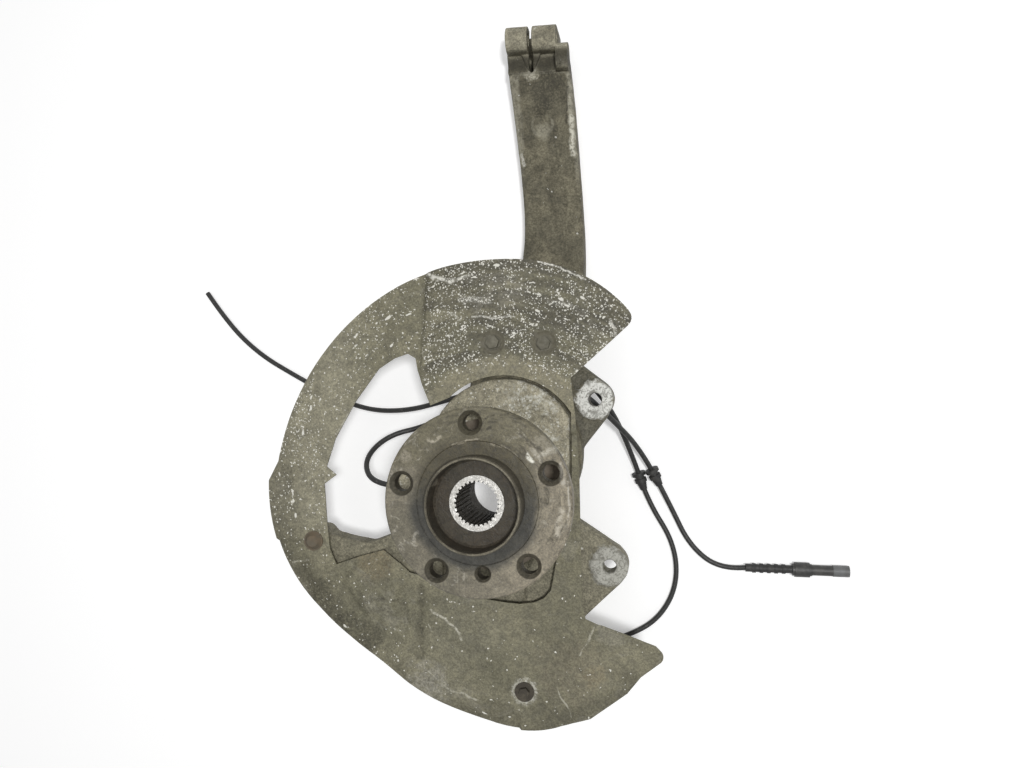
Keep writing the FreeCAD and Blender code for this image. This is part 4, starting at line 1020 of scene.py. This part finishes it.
@dataclass
class Casting:
    """Knuckle casting, rounded and grained from its CAD solids."""

    effects: Effects
    coarse: float = 0.0017
    fine: float = 0.0009
    seam_y: float = 0.365
    lump: float = 0.0004
    lump_size: float = 0.022
    smooth_angle: float = 60.0
    regions: tuple[str, ...] = (
        "knuckle_carrier", "knuckle_arm", "knuckle_caliper_ears", "knuckle_steering_arm",
        "knuckle_tie_eye", "knuckle_lower_body", "knuckle_lower_bosses")
    tip: str = "knuckle_clamp"

    def build(self) -> None:
        """Build the casting's skin over its CAD nodes, with a finer one at the split clamp."""
        material = CastingFinish().build(self.effects)
        body = Skin("knuckle_casting", (*self.regions, self.tip), self.regions, self.coarse, 4, Side.BELOW)
        clamp = Skin("knuckle_clamp_skin", ("knuckle_arm", self.tip), (self.tip,), self.fine, 3, Side.ABOVE)
        for skin in (body, clamp):
            self._build_skin(skin, material)

    def _build_skin(self, skin: Skin, material: Material) -> None:
        """Build one skin and let it stand for its CAD nodes."""
        mesh = bmesh.new()
        for source in skin.sources:
            mesh.from_mesh(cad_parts[source].data)
        bmesh.ops.remove_doubles(mesh, verts=mesh.verts, dist=WELD)
        piece = to_object(mesh, skin.name, material)
        remesh = piece.modifiers.new("skin", "REMESH")
        remesh.mode = "VOXEL"
        remesh.voxel_size = skin.voxel * 1.0
        smooth = piece.modifiers.new("round", "SMOOTH")
        smooth.factor = 0.5
        smooth.iterations = skin.smoothing
        apply_modifiers(piece)
        self._roughen(piece.data)
        self._cut(piece.data, skin.side)
        piece.data.shade_smooth()
        piece.data.set_sharp_from_angle(angle=math.radians(self.smooth_angle))
        enter(piece, skin.replaced)

    def _roughen(self, data: bpy.types.Mesh) -> None:
        """Push the skin in by the soft lumps of a casting, never out of its solid."""
        normals = [vertex.normal.copy() for vertex in data.vertices]
        for vertex, normal in zip(data.vertices, normals):
            wave = noise.noise(vertex.co / self.lump_size) * 0.5 + 0.5
            vertex.co -= normal * (self.lump * wave)

    def _cut(self, data: bpy.types.Mesh, side: Side) -> None:
        """Cut a skin at the seam, keep one side and close it."""
        mesh = bmesh.new()
        mesh.from_mesh(data)
        geometry = list(mesh.verts) + list(mesh.edges) + list(mesh.faces)
        made = bmesh.ops.bisect_plane(mesh, geom=geometry, dist=WELD, plane_co=(0.0, self.seam_y, 0.0),
                                      plane_no=(0.0, 1.0, 0.0), clear_outer=side is Side.BELOW,
                                      clear_inner=side is Side.ABOVE)
        rim = [item for item in made["geom_cut"] if isinstance(item, bmesh.types.BMEdge)]
        bmesh.ops.holes_fill(mesh, edges=rim, sides=0)
        bmesh.ops.recalc_face_normals(mesh, faces=mesh.faces)
        mesh.to_mesh(data)
        mesh.free()


@dataclass(frozen=True)
class Dent:
    """A round dent or bulge in the sheet."""

    x: float
    y: float
    radius: float
    rise: float

    def height(self, x: float, y: float) -> float:
        """Rise of the sheet at a point."""
        share = ((x - self.x) ** 2 + (y - self.y) ** 2) / self.radius ** 2
        return self.rise * math.exp(-2.0 * share)


@dataclass(frozen=True)
class Crease:
    """A straight ridge or groove pressed or bent into the sheet."""

    start: tuple[float, float]
    end: tuple[float, float]
    width: float
    rise: float

    def height(self, x: float, y: float) -> float:
        """Rise of the sheet at a point."""
        a, b, p = Vector(self.start), Vector(self.end), Vector((x, y))
        along = max(0.0, min(1.0, (p - a).dot(b - a) / (b - a).length_squared))
        away = (p - a - (b - a) * along).length
        return self.rise * math.exp(-(away / self.width) ** 2)


@dataclass(frozen=True)
class Corner:
    """A corner of the sheet that is rounded in plan about a centre, between two directions."""

    x: float
    y: float
    radius: float
    first: float
    last: float
    cuts: int = 5

    def trim(self, mesh: Mesh) -> None:
        """Cut the corner round."""
        centre = Vector((self.x, self.y, 0.0))
        for i in range(self.cuts):
            angle = math.radians(self.first + (self.last - self.first) * i / (self.cuts - 1))
            out = Vector((math.cos(angle), math.sin(angle), 0.0))
            near = [face for face in mesh.faces
                    if (face.calc_center_median() - centre).xy.length < self.radius * 3.0]
            edges = {edge for face in near for edge in face.edges}
            points = {vertex for face in near for vertex in face.verts}
            bmesh.ops.bisect_plane(mesh, geom=[*points, *edges, *near], dist=WELD, plane_no=out,
                                   plane_co=centre + out * self.radius, clear_outer=True)


@dataclass
class DustShield:
    """Pressed sheet shield with its dents, creases and torn corner."""

    effects: Effects
    thickness: float = 0.0013
    grid: float = 0.0035
    ripple: float = 0.0006
    front_tilt: float = 0.3
    smooth_angle: float = 55.0
    roll_start: float = 0.176
    roll_slope: float = 0.35
    roll_most: float = 0.004
    dents: tuple[Dent, ...] = (
        Dent(-0.108, -0.082, 0.030, 0.0022), Dent(-0.060, 0.176, 0.016, -0.0022),
        Dent(-0.175, 0.030, 0.030, -0.0010), Dent(0.010, -0.140, 0.028, 0.0012),
        Dent(0.095, 0.128, 0.030, -0.0015), Dent(0.095, -0.142, 0.024, -0.0018),
        Dent(-0.150, 0.100, 0.022, 0.0008), Dent(-0.020, -0.180, 0.030, -0.0012),
    )
    corners: tuple[Corner, ...] = (Corner(0.1035, 0.1420, 0.0080, -32.0, 32.0),
                                   Corner(0.1310, -0.1335, 0.0060, -38.0, 30.0))
    creases: tuple[Crease, ...] = (
        Crease((-0.058, -0.105), (-0.028, -0.128), 0.0035, 0.0012),
        Crease((-0.066, -0.085), (-0.068, -0.150), 0.0060, -0.0016),
        Crease((0.082, -0.112), (0.060, -0.142), 0.0040, 0.0016),
        Crease((-0.030, -0.172), (0.000, -0.186), 0.0035, -0.0014),
        Crease((0.050, -0.166), (0.062, -0.192), 0.0016, -0.0008),
        Crease((-0.062, 0.172), (-0.026, 0.170), 0.0022, -0.0012),
        Crease((-0.090, -0.064), (-0.040, -0.102), 0.0050, 0.0016),
    )

    def build(self) -> None:
        """Build the sheet over the CAD shield."""
        mesh = self._front_skin()
        self._cut_grid(mesh)
        for corner in self.corners:
            corner.trim(mesh)
        for vertex in mesh.verts:
            vertex.co.z += self._relief(vertex.co.x, vertex.co.y)
        piece = to_object(mesh, "shield_sheet_metal", SheetFinish().build(self.effects))
        wall = piece.modifiers.new("wall", "SOLIDIFY")
        wall.thickness = self.thickness
        wall.offset = -1.0
        apply_modifiers(piece)
        piece.data.shade_smooth()
        piece.data.set_sharp_from_angle(angle=math.radians(self.smooth_angle))
        enter(piece, ("dust_shield",))

    def _front_skin(self) -> Mesh:
        """Take the faces of the CAD shield that look forward."""
        mesh = bmesh.new()
        mesh.from_mesh(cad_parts["dust_shield"].data)
        bmesh.ops.remove_doubles(mesh, verts=mesh.verts, dist=WELD)
        back = [face for face in mesh.faces if face.normal.z < self.front_tilt]
        bmesh.ops.delete(mesh, geom=back, context="FACES")
        return mesh

    def _cut_grid(self, mesh: Mesh) -> None:
        """Cut the skin along a grid, so that it can bend."""
        low = Vector((min(v.co.x for v in mesh.verts), min(v.co.y for v in mesh.verts), 0.0))
        high = Vector((max(v.co.x for v in mesh.verts), max(v.co.y for v in mesh.verts), 0.0))
        for axis in (0, 1):
            normal = Vector((1.0, 0.0, 0.0)) if axis == 0 else Vector((0.0, 1.0, 0.0))
            count = int((high[axis] - low[axis]) / self.grid)
            for i in range(1, count):
                cut = Vector((0.0, 0.0, 0.0))
                cut[axis] = low[axis] + i * self.grid
                geometry = list(mesh.verts) + list(mesh.edges) + list(mesh.faces)
                bmesh.ops.bisect_plane(mesh, geom=geometry, dist=WELD, plane_co=cut, plane_no=normal)
        bmesh.ops.triangulate(mesh, faces=[face for face in mesh.faces if len(face.verts) > 4])

    def _relief(self, x: float, y: float) -> float:
        """How far the worn sheet stands off the pressed one."""
        waves = noise.noise(Vector((x, y, 0.3)) / 0.045) + 0.5 * noise.noise(Vector((x, y, 1.7)) / 0.018)
        height = self.ripple * waves + sum(dent.height(x, y) for dent in self.dents)
        height += sum(crease.height(x, y) for crease in self.creases)
        # the rim at the lower left is rolled away from the front
        rim = max(0.0, math.hypot(x, y + 0.01) - self.roll_start) if y < -0.05 and x < 0.02 else 0.0
        return height - min(rim * self.roll_slope, self.roll_most)


@dataclass
class ShieldScrews:
    """Screws and rivet that hold the shield."""

    effects: Effects
    finishes: tuple[tuple[PlainFinish, tuple[str, ...]], ...] = (
        (PlainFinish("screw_film", srgb(92, 89, 76), srgb(140, 136, 121), 0.7, 0.1, 0.4, 420.0, 0.3),
         ("shield_screws",)),
        (PlainFinish("dark_screw", srgb(66, 61, 52), srgb(112, 104, 88), 0.6, 0.3, 0.4, 420.0, 0.3),
         ("shield_screw_lower",)),
        (PlainFinish("rusty_rivet", srgb(104, 96, 82), srgb(122, 104, 82), 0.65, 0.3, 0.6, 300.0, 0.3),
         ("shield_rivet_left",)),
    )

    def build(self) -> None:
        """Dress the fasteners of the shield."""
        dress_all(self.effects, self.finishes)


class FarEnd(Enum):
    """What a lead ends in."""

    CONNECTOR = "connector"
    BARE = "bare"


@dataclass(frozen=True)
class Route:
    """A lead's route: control points in millimetres from its exit outwards."""

    name: str
    node: str
    points: tuple[Point, ...]
    length: float
    far_end: FarEnd
    carries: tuple[str, ...] = ()


@dataclass
class Leads:
    """The three loose leads with their grommets, clip, sensor and connectors."""

    effects: Effects
    diameter: float = 0.0047
    outer: Route = Route(
        "wear_lead_to_connector", "wear_lead_outer",
        ((37, 86, -132), (62, 85, -132), (90, 58, -144), (117, 27, -173), (144, -26, -185),
         (162, -64, -185.4), (190, -85, -184.5), (212, -81.5, -181.3)), 0.272, FarEnd.CONNECTOR,
        ("wear_grommet", "connector_boot", "connector_body", "connector_end"))
    inner: Route = Route(
        "wear_lead_to_cut_end", "wear_lead_inner",
        ((13, 86, -132), (-20, 84.5, -132), (-60, 72, -134), (-101, 62, -146), (-146, 62, -163),
         (-190, 76, -178), (-232, 96, -185.2), (-271, 118, -185.4), (-305, 149, -185.4),
         (-329, 182, -185.4)), 0.392, FarEnd.BARE)
    sensor: Route = Route(
        "speed_sensor_lead", "sensor_lead",
        ((-80, 0, -80), (-110, 0, -80), (-126, 20, -98), (-110, 41, -117), (-76, 49, -130),
         (-42, 68, -141), (-8, 102, -141), (60, 102, -141), (91, 66, -153), (109, 21, -179),
         (124, -24, -185.4), (148, -62, -185.4), (151, -101, -185.4), (134, -134, -185.4),
         (104, -152, -184), (80, -158, -181.3)), 0.600, FarEnd.CONNECTOR,
        ("sensor_grommet", "sensor_plug"))
    finishes: tuple[tuple[PlainFinish, tuple[str, ...]], ...] = (
        (PlainFinish("grommet_rubber", srgb(44, 44, 44), srgb(92, 90, 85), 0.6, 0.0, 0.35, 320.0, 0.2),
         ("wear_grommet", "sensor_grommet", "connector_boot")),
        (PlainFinish("connector_shell", srgb(58, 58, 57), srgb(104, 102, 98), 0.5, 0.0, 0.35, 320.0, 0.15),
         ("connector_body", "sensor_plug", "cable_clip", "speed_sensor")),
        (PlainFinish("connector_grey", srgb(108, 109, 109), srgb(74, 73, 70), 0.5, 0.0, 0.4, 320.0, 0.15),
         ("connector_end",)),
        (PlainFinish("small_bolts", srgb(120, 114, 100), srgb(84, 72, 58), 0.5, 0.5, 0.5),
         ("sensor_bolt", "clip_bolt")),
    )

    def build(self) -> None:
        """Dress the ends and lay the leads."""
        dress_all(self.effects, self.finishes)
        jacket = LeadFinish().build(self.effects)
        for route in (self.outer, self.inner, self.sensor):
            self._lay(route, jacket)

    def _lay(self, route: Route, jacket: Material) -> None:
        """Lay one lead as a smooth spline, from its exit to its far end."""
        curve = bpy.data.curves.new(route.name, "CURVE")
        curve.dimensions = "3D"
        spline = curve.splines.new("NURBS")
        spline.points.add(len(route.points) - 1)
        for point, place in zip(spline.points, route.points):
            point.co = (*(value * MM for value in place), 1.0)
        spline.order_u = 3
        spline.use_endpoint_u = True
        spline.resolution_u = 12
        curve.bevel_depth = self.diameter / 2
        curve.bevel_resolution = 5
        curve.use_fill_caps = True
        curve.materials.append(jacket)
        piece = bpy.data.objects.new(route.name, curve)
        bpy.context.scene.collection.objects.link(piece)
        enter(piece, (route.node,))
        LOG.info("lead %s: %d points", route.name, len(route.points))


# ---------------------------------------------------------------- studio
@dataclass(frozen=True)
class Lamp:
    """One square lamp that looks at the hub."""

    name: str
    place: Point
    size: float
    power: float

    def build(self) -> None:
        """Hang the lamp."""
        lamp = bpy.data.lights.new(self.name, "AREA")
        lamp.size = self.size
        lamp.energy = self.power
        hung = bpy.data.objects.new(self.name, lamp)
        hung.location = self.place
        hung.rotation_euler = Vector(self.place).to_track_quat("Z", "Y").to_euler()
        bpy.context.scene.collection.objects.link(hung)


@dataclass
class Studio:
    """White floor, soft overhead light and the photograph's camera."""

    camera_at: Point = (0.1314, 0.0929, 0.5798)
    right: Point = (0.9841, -0.0013, -0.1776)
    up: Point = (0.0, 1.0, -0.0073)
    image_width: float = 1024.0
    focal_pixels: float = 800.0
    sensor_width: float = 36.0
    world_strength: float = 0.34
    lamps: tuple[Lamp, ...] = (Lamp("ceiling", (-0.25, 0.35, 1.6), 1.4, 5.4),
                               Lamp("window", (0.45, 0.16, 1.50), 0.14, 15.6))
    floor_reach: float = 4.0
    floor_white: float = 0.86
    floor_glow: float = 0.30

    def build(self) -> None:
        """Build floor, lights and camera."""
        self._floor()
        self._light()
        self._camera()

    def _floor(self) -> None:
        """Lay the white floor that the part lies on."""
        mesh = bmesh.new()
        bmesh.ops.create_grid(mesh, x_segments=1, y_segments=1, size=self.floor_reach,
                              matrix=Matrix.Translation((0, 0, FLOOR_Z)))
        material, g, shader = new_material("floor_white")
        shader.inputs["Base Color"].default_value = (*(self.floor_white,) * 3, 1.0)
        shader.inputs["Roughness"].default_value = 0.9
        shader.inputs["Specular IOR Level"].default_value = 0.1
        path = g.node("ShaderNodeLightPath")
        seen = g.most(path.outputs["Is Camera Ray"],
                      g.most(path.outputs["Is Glossy Ray"], path.outputs["Is Transmission Ray"]))
        shader.inputs["Emission Color"].default_value = (1.0, 1.0, 1.0, 1.0)
        g.put(shader.inputs["Emission Strength"], g.times(seen, self.floor_glow))
        floor = to_object(mesh, "floor", material)

    def _light(self) -> None:
        """Light the part softly from above, with a small bright window at the right."""
        world = bpy.data.worlds.new("room")
        bpy.context.scene.world = world
        world.use_nodes = True
        background = world.node_tree.nodes["Background"]
        background.inputs[0].default_value = (1.0, 1.0, 1.0, 1.0)
        background.inputs[1].default_value = self.world_strength
        for lamp in self.lamps:
            lamp.build()

    def _camera(self) -> None:
        """Set the camera where the photograph was taken."""
        data = bpy.data.cameras.new("camera")
        data.sensor_width = self.sensor_width
        data.lens = self.focal_pixels / self.image_width * self.sensor_width
        data.clip_start = 0.01
        camera = bpy.data.objects.new("camera", data)
        right, up = Vector(self.right).normalized(), Vector(self.up)
        back = right.cross(up).normalized()
        up = back.cross(right)
        turn = Matrix((right, up, back)).transposed().to_4x4()
        camera.matrix_world = Matrix.Translation(self.camera_at) @ turn
        bpy.context.scene.collection.objects.link(camera)
        bpy.context.scene.camera = camera


def main() -> None:
    """Build the part, then the studio."""
    bpy.context.scene.view_settings.view_transform = "Standard"
    effects = Effects()
    HubUnit(effects).build()
    Casting(effects).build()
    DustShield(effects).build()
    ShieldScrews(effects).build()
    Leads(effects).build()
    Studio().build()


if __name__ == "__main__":
    main()
